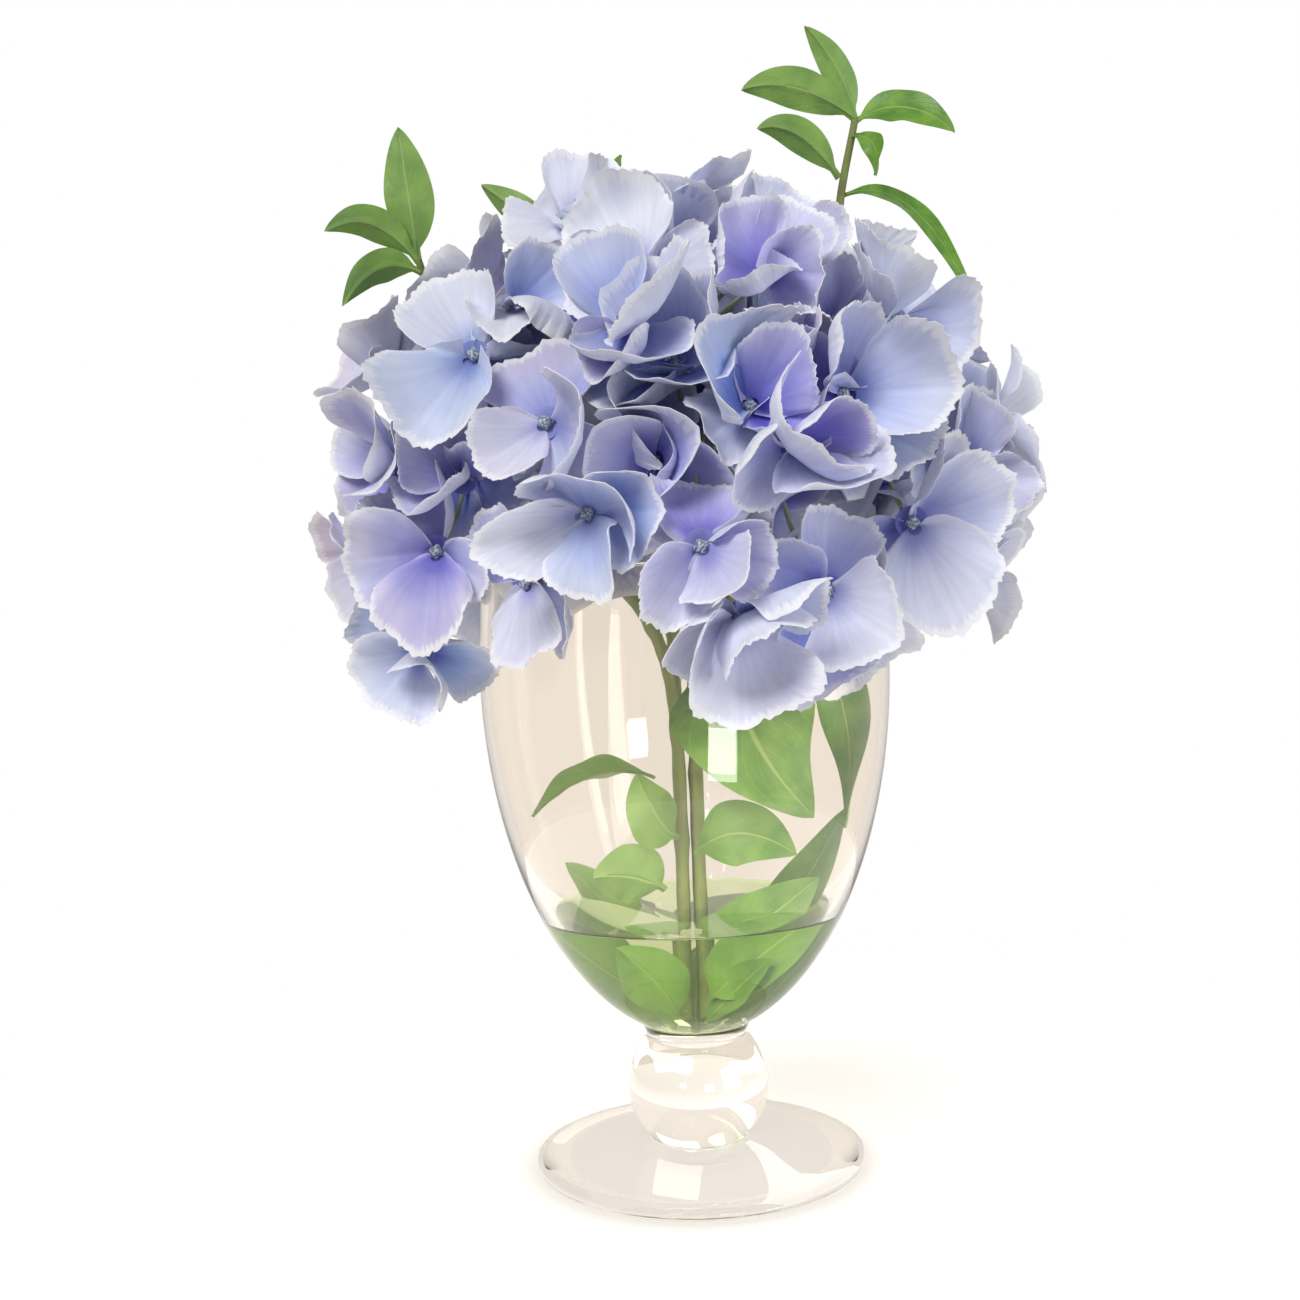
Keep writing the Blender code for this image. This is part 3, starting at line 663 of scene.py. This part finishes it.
def vase_profile():
    rim = FOOT_RIM_THICKNESS
    foot = [(0, 0), (0.5 * FOOT_RADIUS, 0), (FOOT_RADIUS - 1.2 * MM, 0), (FOOT_RADIUS, 0.4 * rim),
            (FOOT_RADIUS - 0.5 * MM, rim), (0.62 * FOOT_RADIUS, 1.3 * rim),
            (0.42 * FOOT_RADIUS, 1.6 * rim), (0.33 * FOOT_RADIUS, 2.1 * rim)]
    low, high = -0.82, 0.80
    turns = [low + (high - low) * i / 16 for i in range(17)]
    ball = [(BALL_RADIUS * math.cos(a), BALL_CENTRE + BALL_RADIUS * math.sin(a)) for a in turns]
    outside = bowl(BOWL_RADIUS, BOWL_DEPTH, NECK_HEIGHT, RIM_HEIGHT - 1.5 * MM, 30)
    inside = bowl(BOWL_RADIUS - WALL, INNER_DEPTH, BOWL_WAIST - INNER_DEPTH + 0.1 * MM,
                  RIM_HEIGHT - 1.5 * MM, 30)
    lip_radius = (outside[-1][0] + inside[-1][0]) / 2
    lip = [(lip_radius + WALL * 0.4, RIM_HEIGHT), (lip_radius - WALL * 0.4, RIM_HEIGHT)]
    whole = [*foot, *ball, *outside, *lip, *reversed(inside),
             (0, BOWL_WAIST - INNER_DEPTH)]
    return rounded(whole, 2)


def make_vase(look):
    mesh = Mesh()
    turned(mesh, vase_profile(), 0)
    return mesh.stand_for("vase", "glass_vase", [look])


def make_water(look):
    """The water reaches just into the glass, so that no film of air shows between them."""
    overlap = 0.06 * MM
    wall = bowl(BOWL_RADIUS - WALL + overlap, INNER_DEPTH + overlap,
                BOWL_WAIST - INNER_DEPTH, WATER_LEVEL + 0.7 * MM, 24)
    edge = wall[-1][0]
    meniscus = [(edge - back * MM, WATER_LEVEL + 0.7 * MM * math.exp(-1.1 * back))
                for back in (0.3, 0.8, 1.5, 2.5, 4)]
    top = [(edge * share, WATER_LEVEL) for share in (0.8, 0.5, 0.2)]
    mesh = Mesh()
    turned(mesh, [(0, BOWL_WAIST - INNER_DEPTH - overlap), *wall[1:], *meniscus, *top,
                  (0, WATER_LEVEL)], 0)
    mesh.stand_for("water", "clear_water", [look])


# ---- stems -------------------------------------------------------------------

def hub_of(head):
    """The middle of the swelling at the top of a CAD stem."""
    places = [v.co.copy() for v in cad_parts[f"stem_{head}"].data.vertices]
    top = max(places, key=lambda p: p.z)
    near = [p for p in places if (p - top).length < 11 * MM]
    return sum(near, Vector()) / len(near)


def make_stem(head, hub, look):
    """A knobbly stem, with a swollen joint every few centimetres."""
    turn = math.radians(STEM_SIDES[head])
    foot = Vector((math.sin(turn), -math.cos(turn), 0)) * STEM_SPACING
    below_hub = Vector((hub.x, hub.y, 0))
    points = [foot + Vector((0, 0, STEM_FOOT))]
    for height, lean in STEM_LEAN:
        points.append(foot.lerp(below_hub, lean) + Vector((0, 0, height * RIM_HEIGHT)))
    path = smooth_path([*points, hub], 14)
    joints = random.Random(head).uniform(0.0, 1.0)
    radii = []
    for i, place in enumerate(path):
        knob = max(0.0, math.cos(math.tau * (place.z / 0.034 + joints))) ** 10
        radii.append(STEM_RADIUS * (0.88 + 0.22 * knob + 0.04 * math.sin(i * 1.7)))
    mesh = Mesh()
    add_tube(mesh, path, radii, 0, sides=16)
    mesh.stand_for(f"stem_{head}", f"flower_stem_{head}", [look])


# ---- leaves ------------------------------------------------------------------

def leaf_half_width(t, width):
    """Half the leaf's width at t along its midrib: a narrow stalk, then an oval blade."""
    blade = max(0.0, (t - 0.08) / 0.92)
    oval = math.sin(math.pi * min(1.0, blade) ** 0.8) ** 0.75 if 0 < blade < 1 else 0.0
    return max(width / 2 * oval, PETIOLE_WIDTH / 2 * (1 - t), 0.05 * MM)


def leaf_side(along, roll):
    """The direction across the blade, turned by roll about the midrib."""
    level = along.cross(Vector((0, 0, 1)))
    return Matrix.Rotation(math.radians(roll), 3, along) @ level.normalized()


def add_leaf(mesh, shape, stations=34, columns=13, seed=1):
    """A leaf folded a little along its midrib, with a wavy edge and raised flesh between veins."""
    base, middle, tip, width, roll = shape
    base, middle, tip, width = mm(base), mm(middle), mm(tip), width * MM
    wave = random.Random(seed)
    phase, pull = wave.uniform(0, 6.28), wave.uniform(-0.5, 0.5)
    front, back, uvs = [], [], []
    for i in range(stations + 1):
        t = 0.999 * i / stations
        centre = quadratic(base, middle, tip, t)
        along = (quadratic(base, middle, tip, t + 0.001) - centre).normalized()
        side = leaf_side(along, roll)
        face = side.cross(along).normalized()
        reach = leaf_half_width(t, width)
        for j in range(columns):
            u = -1 + 2 * j / (columns - 1)
            edge = math.sin(t * 15 + phase + (1.6 if u > 0 else 0)) * abs(u) ** 3
            quilt = 0.02 * width * math.sin((t * 9 - abs(u) * 1.6) * math.tau) * abs(u) * (1 - u * u)
            rise = (abs(u) ** 1.3 * 0.20 - 0.10) * reach + 0.035 * width * edge * (reach / width) * 2
            rise += quilt * (2 * reach / width) + pull * 0.08 * reach * u
            thick = 0.25 * MM * (1.6 - abs(u)) + (0.5 * MM if abs(u) < 0.1 else 0)
            place = centre + side * (u * reach) + face * rise
            front.append(place + face * thick * 0.5)
            back.append(place - face * thick * 0.8)
            uvs.append(((u + 1) / 2, t))
    count = len(front)
    faces = []
    for i in range(stations):
        for j in range(columns - 1):
            a, b = i * columns + j, (i + 1) * columns + j
            faces.append((a, a + 1, b + 1, b))
            faces.append((count + b, count + b + 1, count + a + 1, count + a))
    edge = border_faces(stations + 1, columns)
    slots = [0, 1] * (len(faces) // 2) + [0] * len(edge)
    mesh.add(front + back, faces + edge, slots, uvs + uvs)


def make_leaf(name, looks):
    mesh = Mesh()
    add_leaf(mesh, LEAVES[name], seed=name)
    mesh.stand_for(name, f"{name}_blade", looks)


def make_foot_leaves(looks):
    """Short leaves in the water round the cut ends, which the CAD leaves out."""
    mesh = Mesh()
    for i, shape in enumerate(FOOT_LEAVES):
        add_leaf(mesh, shape, stations=22, columns=9, seed=f"foot{i}")
    mesh.build("foot_leaves", looks)


def make_sprig(name, looks):
    stem_points, leaflets = SPRIGS[name]
    path = smooth_path([mm(p) for p in stem_points], 12)
    radii = [SPRIG_RADIUS * (1.4 - 0.5 * i / len(path)) for i in range(len(path))]
    mesh = Mesh()
    add_tube(mesh, path, radii, 2, sides=12)
    for i, shape in enumerate(leaflets):
        add_leaf(mesh, shape, stations=26, columns=11, seed=f"{name}{i}")
    mesh.stand_for(name, f"{name}_leafy", looks)


# ---- sepals ------------------------------------------------------------------

@dataclass
class Sepal:
    """One sepal's form. Angles are in radians."""

    ahead: Vector               # from the floret's middle towards its tip
    face: Vector                # the way its upper side faces
    length: float
    width: float
    curl: float                 # how much it bends up along its length
    cup: float                  # how far its sides curve up
    lip: float                  # how far its rim turns up, or down if negative
    ruffle: float
    phase: float


@dataclass
class Site:
    """Where a floret is: its middle, its facing, and two directions in its plane."""

    middle: Vector
    out: Vector
    side: Vector
    across: Vector
    hub: Vector


# Steps round a sepal's edge and from its base outwards.
FINE = (np.linspace(0.05, 0.95, 100), np.array([0.1, 0.27, 0.45, 0.62, 0.76, 0.87, 0.95, 1.0]))
MEDIUM = (np.linspace(0.05, 0.95, 60), np.array([0.1, 0.35, 0.6, 0.8, 0.93, 1.0]))
SKETCH = (np.linspace(0.06, 0.94, 26), np.array([0.15, 0.45, 0.75, 1.0]))
COARSE = (np.linspace(0.10, 0.90, 13), np.array([0.35, 0.6, 0.82, 1.0]))


def sepal_grid(sepal, site, steps):
    """World places on a sepal as an array: round its edge, then outwards from its base."""
    s, t = np.meshgrid(*steps, indexing="ij")
    theta = math.tau * s
    ragged = (np.sin(s * 173 + sepal.phase * 3) + np.sin(s * 389 + sepal.phase * 5)
              + 0.8 * np.sin(s * 61 + sepal.phase * 7)) * 0.013
    lobes = 0.03 * np.sin(s * 23 + sepal.phase) + 0.015 * np.sin(s * 47 + 2 * sepal.phase)
    stretch = t * (1 + (ragged * t ** 8 + lobes * t ** 2))
    x = sepal.width * SEPAL_FULLNESS * np.sin(theta) * np.sin(theta / 2) ** 0.35 * stretch
    y = sepal.length * (1 - np.cos(theta)) / 2 * stretch
    y += sepal.length * 0.05 * np.exp(-((s - 0.5) / 0.03) ** 2) * t ** 3
    bend = sepal.curl if abs(sepal.curl) > 0.01 else 0.01
    per_length = bend / sepal.length
    slope = per_length * y - bend / 2
    forward = (np.sin(slope) + math.sin(bend / 2)) / per_length
    height = (math.cos(bend / 2) - np.cos(slope)) / per_length
    half = sepal.width / 2
    share = x / half
    rise = sepal.cup * half * share ** 2
    rise += sepal.ruffle * half * np.sin(theta * 3 + sepal.phase) * t ** 3
    rise += 0.3 * sepal.ruffle * half * np.sin(theta * 8 + 2 * sepal.phase) * t ** 6
    lip = np.clip(t - 0.7, 0, 1) ** 2 * (0.6 + np.sin(theta * 2 + 3 * sepal.phase))
    rise += sepal.lip * half * lip * 11
    rise -= 0.35 * MM * np.exp(-(x / (1.2 * MM)) ** 2) * t * (1 - t) * 4
    x = x * (1 - 0.22 * abs(sepal.cup) * share ** 2)
    forward = forward - np.sin(slope) * rise + 1.0 * MM
    height = height + np.cos(slope) * rise
    lateral = sepal.ahead.cross(sepal.face)
    return (np.array(site.middle) + x[..., None] * np.array(lateral)
            + forward[..., None] * np.array(sepal.ahead)
            + height[..., None] * np.array(sepal.face))


def grid_faces(rows, columns):
    """Quads of a grid whose vertices run column by column within each row."""
    return [(i * columns + j, (i + 1) * columns + j, (i + 1) * columns + j + 1, i * columns + j + 1)
            for i in range(rows - 1) for j in range(columns - 1)]


def add_sepal(mesh, sepal, site, steps, tint):
    """The sepal as a thin closed shell with a front and a back, thinner at its edge."""
    grid = sepal_grid(sepal, site, steps)
    rows, columns = grid.shape[:2]
    normal = np.cross(np.gradient(grid, axis=0), np.gradient(grid, axis=1))
    normal /= np.maximum(np.linalg.norm(normal, axis=2, keepdims=True), 1e-12)
    if np.dot(normal.mean(axis=(0, 1)), np.array(site.out)) < 0:
        normal = -normal
    taper = (1 - 0.55 * steps[1] ** 6)[None, :, None] * SEPAL_THICKNESS / 2
    sheet = np.concatenate([(grid + normal * taper).reshape(-1, 3),
                            (grid - normal * taper).reshape(-1, 3)])
    front = [tuple(reversed(face)) for face in grid_faces(rows, columns)]
    back = [tuple(i + rows * columns for i in reversed(face)) for face in front]
    edge = border_faces(rows, columns)
    s, t = np.meshgrid(*steps, indexing="ij")
    uvs = np.stack([s.ravel(), t.ravel()], axis=1)
    slots = [0] * len(front) + [1] * len(back) + [0] * len(edge)
    mesh.add(sheet, front + back + edge, slots, np.concatenate([uvs, uvs]), tint)


class Crowd:
    """The sepals, leaves and glass already in place, which a new sepal tries to miss."""

    def __init__(self):
        self.verts, self.faces = [], []
        self.tree = None

    def add(self, verts, faces):
        first = len(self.verts)
        self.verts += [tuple(v) for v in verts]
        self.faces += [tuple(first + i for i in face) for face in faces]
        self.tree = BVHTree.FromPolygons(self.verts, self.faces)

    def meets(self, grid):
        rows, columns = grid.shape[:2]
        trial = BVHTree.FromPolygons(grid.reshape(-1, 3).tolist(), grid_faces(rows, columns))
        return len(self.tree.overlap(trial))


def other_ways(room):
    """Tilts, swings and curls to try on a crowded sepal within some room, with their effort."""
    ways = []
    for tilt in (0, -10, 12, -22, 24, -36, 36, 50, 64):
        for curl in (0, -26, 26):
            for swing in (0, -9, 9):
                if abs(tilt) <= room:
                    effort = abs(tilt) * 0.05 + abs(curl) * 0.02 + abs(swing) * 0.03
                    ways.append((effort, *map(math.radians, (tilt, curl, swing))))
    return sorted(ways)


FREE_WAYS = other_ways(90)
NEAR_WAYS = other_ways(24)


def turned_sepal(sepal, tilt, curl, swing):
    """The sepal tilted up, curled more and swung sideways."""
    lateral = sepal.ahead.cross(sepal.face)
    turn = Matrix.Rotation(swing, 3, sepal.face) @ Matrix.Rotation(tilt, 3, lateral)
    return replace(sepal, ahead=turn @ sepal.ahead, face=turn @ sepal.face,
                   curl=sepal.curl + curl)


def settle(sepal, site, crowd, ways):
    """The way of pitching and curling the sepal that meets the least of the crowd."""
    best, best_cost = sepal, float("inf")
    for effort, tilt, curl, swing in ways:
        if effort >= best_cost:
            break
        trial = turned_sepal(sepal, tilt, curl, swing)
        cost = crowd.meets(sepal_grid(trial, site, COARSE)) + effort
        if cost < best_cost:
            best, best_cost = trial, cost
    return best


# ---- florets -----------------------------------------------------------------

def cad_floret(node):
    """(middle, facing) of a CAD floret: its middle is the corner where most triangles meet."""
    mesh = node.data
    mesh.calc_loop_triangles()
    corners = {}
    for triangle in mesh.loop_triangles:
        a, b, c = (mesh.vertices[i].co for i in triangle.vertices)
        area = (b - a).cross(c - a)
        for corner in (a, b, c):
            key = tuple(round(x, 6) for x in corner)
            count, total = corners.get(key, (0, Vector()))
            corners[key] = (count + 1, total + area)
    middle, (_, area) = max(corners.items(), key=lambda item: item[1][0])
    return Vector(middle), area.normalized()


def make_site(middle, out, spin, hub):
    side = Vector((0, 0, 1)).cross(out).normalized()
    side = Matrix.Rotation(math.radians(spin), 3, out) @ side
    return Site(middle, out, side, out.cross(side), hub)


def rolled(ahead, face, roll):
    """The face made square to ahead, then rolled about it by some degrees."""
    face = (face - ahead * face.dot(ahead)).normalized()
    return Matrix.Rotation(math.radians(roll), 3, ahead) @ face


def set_sepals(look, site, chance):
    """The listed sepals of a floret, each with its tint."""
    for tip, width, roll, curl, lavender, pale in look.sepals:
        ahead = Vector(tip).normalized()
        sepal = Sepal(ahead, rolled(ahead, site.out, roll), Vector(tip).length * 1.06 * MM,
                      width * MM, math.radians(curl), chance.uniform(0.26, 0.6),
                      chance.uniform(-0.1, 0.45), chance.uniform(0.08, 0.17),
                      chance.uniform(0, math.tau))
        yield sepal, (lavender, pale, look.blush * chance.uniform(0.2, 1.2))


def even_sepals(look, site, chance):
    """Four sepals in two crossed pairs, each with its tint."""
    for k in (0, 2, 1, 3):
        turn = math.radians(90 * k + chance.uniform(-9, 9))
        pitch = math.radians(look.pitch * chance.uniform(0.7, 1.2) - (5 if k % 2 else 0))
        level = site.side * math.cos(turn) + site.across * math.sin(turn)
        ahead = level * math.cos(pitch) + site.out * math.sin(pitch)
        sepal = Sepal(ahead, rolled(ahead, site.out, chance.uniform(-12, 4)),
                      SEPAL_LENGTH * look.size * chance.uniform(0.92, 1.06),
                      SEPAL_WIDTH * look.size * chance.uniform(0.88, 1.06),
                      math.radians(chance.uniform(-20, 30)), chance.uniform(0.2, 0.55),
                      chance.uniform(-0.2, 0.35), chance.uniform(0.06, 0.13),
                      chance.uniform(0, math.tau))
        tint = (min(1, max(0, look.lavender + chance.uniform(-0.22, 0.22))),
                min(1, max(0, look.pale + chance.uniform(-0.18, 0.22))),
                look.blush * chance.uniform(0.2, 1.2))
        yield sepal, tint


def add_bead(mesh, site, tint):
    """The little four-lobed bud in a floret's middle, on a low funnel."""
    rings, around = 9, 16
    turns = [math.tau * k / around for k in range(around)]
    spokes = [site.side * math.cos(turn) + site.across * math.sin(turn) for turn in turns]
    funnel = ((0.2, -0.9), (4.6, 0.9), (4.6, 0.7), (0.2, -1.2))
    verts = [site.middle + (site.out * height + spoke * radius) * MM
             for radius, height in funnel for spoke in spokes]
    uvs = [(0.5, 0.05 + 0.03 * radius) for radius, _ in funnel for _ in spokes]
    mesh.add(verts, ring_faces(len(funnel), around), 0, uvs, tint)
    verts = []
    for i in range(rings):
        down = math.pi * (0.04 + 0.92 * i / (rings - 1))
        centre = site.middle + site.out * (BEAD_RADIUS * (0.75 * math.cos(down) + 0.9))
        for turn, spoke in zip(turns, spokes):
            lobe = 1 + 0.16 * math.cos(4 * turn) * math.sin(down)
            verts.append(centre + spoke * (BEAD_RADIUS * math.sin(down) * lobe))
    mesh.add(verts, [(first, *reversed(rest)) for first, *rest in ring_faces(rings, around)], 2)


def add_stalk(mesh, site):
    """The stalk from a floret's back to its head's hub, bent a little."""
    start = site.middle - site.out * 0.3 * MM
    drop = max(0.0, site.hub.z - start.z)
    elbow = site.hub.lerp(start, 0.6) + Vector((0, 0, 0.5 * drop))
    path = smooth_path([start, start.lerp(elbow, 0.4) - site.out * 3 * MM, elbow, site.hub], 4)
    radii = [STALK_RADIUS * (1.5 if i == 0 else 1.0) for i in range(len(path))]
    add_tube(mesh, path, radii, 3, sides=8)


def draw_floret(mesh, look, site, chance, crowd, steps):
    """A floret's sepals, each settled among what is already there, its bead and its stalk."""
    sepals, ways = even_sepals(look, site, chance), FREE_WAYS
    if look.sepals:
        sepals, ways = set_sepals(look, site, chance), NEAR_WAYS
    for sepal, tint in sepals:
        sepal = settle(sepal, site, crowd, ways)
        grid = sepal_grid(sepal, site, COARSE)
        crowd.add(grid.reshape(-1, 3), grid_faces(*grid.shape[:2]))
        add_sepal(mesh, sepal, site, steps, tint)
    add_bead(mesh, site, tint)
    add_stalk(mesh, site)


def default_look(chance):
    return Look(chance.uniform(0.1, 0.95), chance.uniform(0.1, 0.7),
                0.3 if chance.random() < 0.2 else 0.0, pitch=chance.uniform(10, 34), size=0.95)


def to_the_front(out):
    """The facing turned towards the front."""
    return (out + TO_THE_FRONT * Vector((0, -1, 0))).normalized()


def make_floret(name, hubs, crowd, looks):
    """A detailed floret in the place of a CAD one."""
    chance = random.Random(name)
    look = LOOKS.get(name) or default_look(chance)
    middle, out = cad_floret(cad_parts[name])
    middle = middle + mm(look.shift)
    if look.sepals:
        out = to_the_front(out)
    site = make_site(middle, out, chance.uniform(0, 90), hubs[name.split("_")[1]])
    mesh = Mesh()
    steps = FINE if look.sepals else MEDIUM
    draw_floret(mesh, look, site, chance, crowd, steps)
    mesh.stand_for(name, f"{name}_sepals", looks)


def make_between_florets(hubs, crowd, looks):
    """The listed florets which the CAD leaves out."""
    for i, (head, place, look) in enumerate(BETWEEN, 1):
        chance = random.Random(i)
        out = to_the_front((mm(place) - hubs[head]).normalized())
        site = make_site(mm(place), out, 0, hubs[head])
        mesh = Mesh()
        draw_floret(mesh, look, site, chance, crowd, FINE)
        mesh.build(f"between_floret_{i}", looks)


def make_inner_florets(head, hub, crowd, looks):
    """Smaller florets deeper in a head, which fill the gaps between the outer ones; their tint, kept
    hardly pale, is partly painted shade for those gaps.
    """
    chance = random.Random(f"inner_{head}")
    mesh = Mesh()
    outer = [cad_floret(node)[0] for name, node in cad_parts.items()
             if name.startswith(f"floret_{head}_")]
    reach = min((middle - hub).length for middle in outer)
    for i in range(INNER_FLORETS):
        height = 1 - 2 * (i + 0.5) / INNER_FLORETS
        turn = i * GOLDEN_TURN + chance.uniform(-0.3, 0.3)
        flat = math.sqrt(1 - height * height)
        out = Vector((flat * math.cos(turn), flat * math.sin(turn), height))
        middle = hub + out * reach * chance.uniform(0.5, 0.78)
        near_glass = math.hypot(middle.x, middle.y) < BOWL_RADIUS + 12 * MM
        if near_glass and middle.z < RIM_HEIGHT + 12 * MM:
            continue
        site = make_site(middle, out, chance.uniform(0, 90), hub)
        # Their paleness is kept low: painted shade that darkens the gaps between the outer florets.
        look = Look(chance.uniform(0.3, 1.0), chance.uniform(0.0, 0.2),
                    pitch=chance.uniform(10, 35), size=0.9)
        draw_floret(mesh, look, site, chance, crowd, SKETCH)
    mesh.build(f"inner_florets_{head}", looks)


def start_crowd():
    """The vase's outside, the upper leaves and the sprigs, before any sepal is placed."""
    crowd = Crowd()
    shell = Mesh()
    add_tube(shell, [Vector((0, 0, z)) for z in (0.06, 0.1, 0.14, 0.17, RIM_HEIGHT + 1 * MM)],
             [0.036, 0.058, 0.066, 0.067, 0.066], 0, sides=24)
    upper = [shape for shape in LEAVES.values() if shape[0][2] * MM > RIM_HEIGHT]
    for shape in upper + [shape for _, leaflets in SPRIGS.values() for shape in leaflets]:
        add_leaf(shell, shape, stations=6, columns=3)
    crowd.add(shell.verts, shell.faces)
    return crowd


def make_flowers():
    looks = [*two_sided(sepal_material, "sepal"), bead_material(),
             stalk_material("stalk", srgb(150, 172, 120), srgb(190, 200, 160), srgb(120, 140, 100))]
    hubs = {head: hub_of(head) for head in STEM_SIDES}
    crowd = start_crowd()
    nodes = [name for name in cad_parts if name.startswith("floret_")]
    rest = sorted((n for n in nodes if n not in LOOKS), key=lambda n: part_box(n)[0][1])
    for name in LOOKS:
        make_floret(name, hubs, crowd, looks)
    make_between_florets(hubs, crowd, looks)
    for name in rest:
        make_floret(name, hubs, crowd, looks)
    for head, hub in hubs.items():
        make_inner_florets(head, hub, crowd, looks)
    return hubs


# ---- stage -------------------------------------------------------------------

def make_floor():
    data = bpy.data.meshes.new("floor")
    turns = [math.tau * k / 96 for k in range(96)]
    data.from_pydata([(FLOOR_RADIUS * math.cos(a), FLOOR_RADIUS * math.sin(a), 0) for a in turns],
                     [], [tuple(range(len(turns)))])
    data.materials.append(floor_material())
    floor = bpy.data.objects.new("floor", data)
    bpy.context.scene.collection.objects.link(floor)


def area_light(name, place, target, width, height, watts, colour, only=None):
    """A rectangular lamp; only is the one piece it lights, where it is a glint on glass."""
    data = bpy.data.lights.new(name, "AREA")
    data.shape = "RECTANGLE"
    data.size, data.size_y, data.energy, data.color = width, height, watts, colour
    light = bpy.data.objects.new(name, data)
    light.location = place
    light.rotation_euler = (Vector(target) - Vector(place)).to_track_quat("-Z", "Y").to_euler()
    light.visible_camera = False
    bpy.context.scene.collection.objects.link(light)
    if only:
        lit = bpy.data.collections.new(f"{name}_lights")
        lit.objects.link(only)
        light.light_linking.receiver_collection = lit


def make_lights(vase):
    """A soft key from the upper left, a fill, a back light and two windows in the bowl."""
    middle = (0, 0, 0.2)
    area_light("key", (-0.6, -1.2, 1.1), middle, 0.7, 0.7, 20, (1.0, 0.985, 0.97))
    area_light("fill", (1.3, -0.9, 0.4), middle, 0.9, 0.9, 10, (0.96, 0.98, 1.0))
    area_light("back", (0.5, 1.3, 1.1), middle, 1.0, 0.8, 5, (1.0, 0.98, 0.95))
    bowl_front = (0, -0.064, 0.135)
    area_light("window_right", (0.084, -0.288, 0.056), bowl_front, 0.075, 0.06, 0.14,
               (1, 1, 1), only=vase)
    area_light("window_left", (-0.130, -0.276, 0.076), bowl_front, 0.05, 0.04, 0.05,
               (1, 1, 1), only=vase)


def background(tree, colour, strength):
    node = tree.nodes.new("ShaderNodeBackground")
    node.inputs["Color"].default_value = (*colour, 1)
    node.inputs["Strength"].default_value = strength
    return node.outputs[0]


def make_world():
    """White to the camera, warm through the glass, and dimmer for the light on the flowers."""
    world = bpy.data.worlds.new("studio")
    bpy.context.scene.world = world
    world.use_nodes = True
    tree = world.node_tree
    tree.nodes.clear()
    path = tree.nodes.new("ShaderNodeLightPath")
    shade = background(tree, (1.0, 0.98, 0.97), 0.15)
    for seen_by, colour, strength in (("Is Glossy Ray", (1.0, 0.96, 0.92), 0.6),
                                      ("Is Transmission Ray", (1.0, 0.935, 0.87), 0.98),
                                      ("Is Camera Ray", (1, 1, 1), 1.0)):
        both = tree.nodes.new("ShaderNodeMixShader")
        tree.links.new(path.outputs[seen_by], both.inputs[0])
        tree.links.new(shade, both.inputs[1])
        tree.links.new(background(tree, colour, strength), both.inputs[2])
        shade = both.outputs[0]
    output = tree.nodes.new("ShaderNodeOutputWorld")
    tree.links.new(shade, output.inputs[0])


def make_camera():
    """Level, a little lower than the rim, and rolled so that the vase leans to the left."""
    data = bpy.data.cameras.new("camera")
    data.lens, data.sensor_width = 37.69, 36
    data.clip_start = 0.01
    camera = bpy.data.objects.new("camera", data)
    aim = Matrix.Rotation(math.radians(90), 4, "X") @ Matrix.Rotation(math.radians(-2), 4, "Z")
    camera.matrix_world = Matrix.Translation((-0.0107, -0.439, 0.1636)) @ aim
    bpy.context.scene.collection.objects.link(camera)
    bpy.context.scene.camera = camera


def settings():
    scene = bpy.context.scene
    scene.view_settings.view_transform = "Standard"
    scene.cycles.max_bounces = 24
    scene.cycles.transmission_bounces = 20
    scene.cycles.transparent_max_bounces = 24
    scene.cycles.diffuse_bounces = 5
    scene.cycles.use_denoising = True


def main():
    vase = make_vase(clear_material("vase_glass", (0.95, 0.92, 0.875), 1.5, 0.02 * MM))
    make_water(clear_material("water_clear", (0.68, 0.82, 0.46), 1.33, 0.01 * MM))
    stem = stalk_material("stem_green", srgb(110, 124, 58), srgb(142, 154, 88),
                          srgb(98, 90, 52))
    hubs = make_flowers()
    for head, hub in hubs.items():
        make_stem(head, hub, stem)
    leaf = two_sided(leaf_material, "leaf", srgb(92, 140, 52), srgb(128, 168, 80))
    fresh = two_sided(leaf_material, "sprig", srgb(70, 126, 34), srgb(122, 168, 58))
    for name in LEAVES:
        make_leaf(name, leaf)
    make_foot_leaves(leaf)
    for name in SPRIGS:
        make_sprig(name, [*fresh, stem])
    make_floor()
    make_lights(vase)
    make_world()
    make_camera()
    settings()


main()
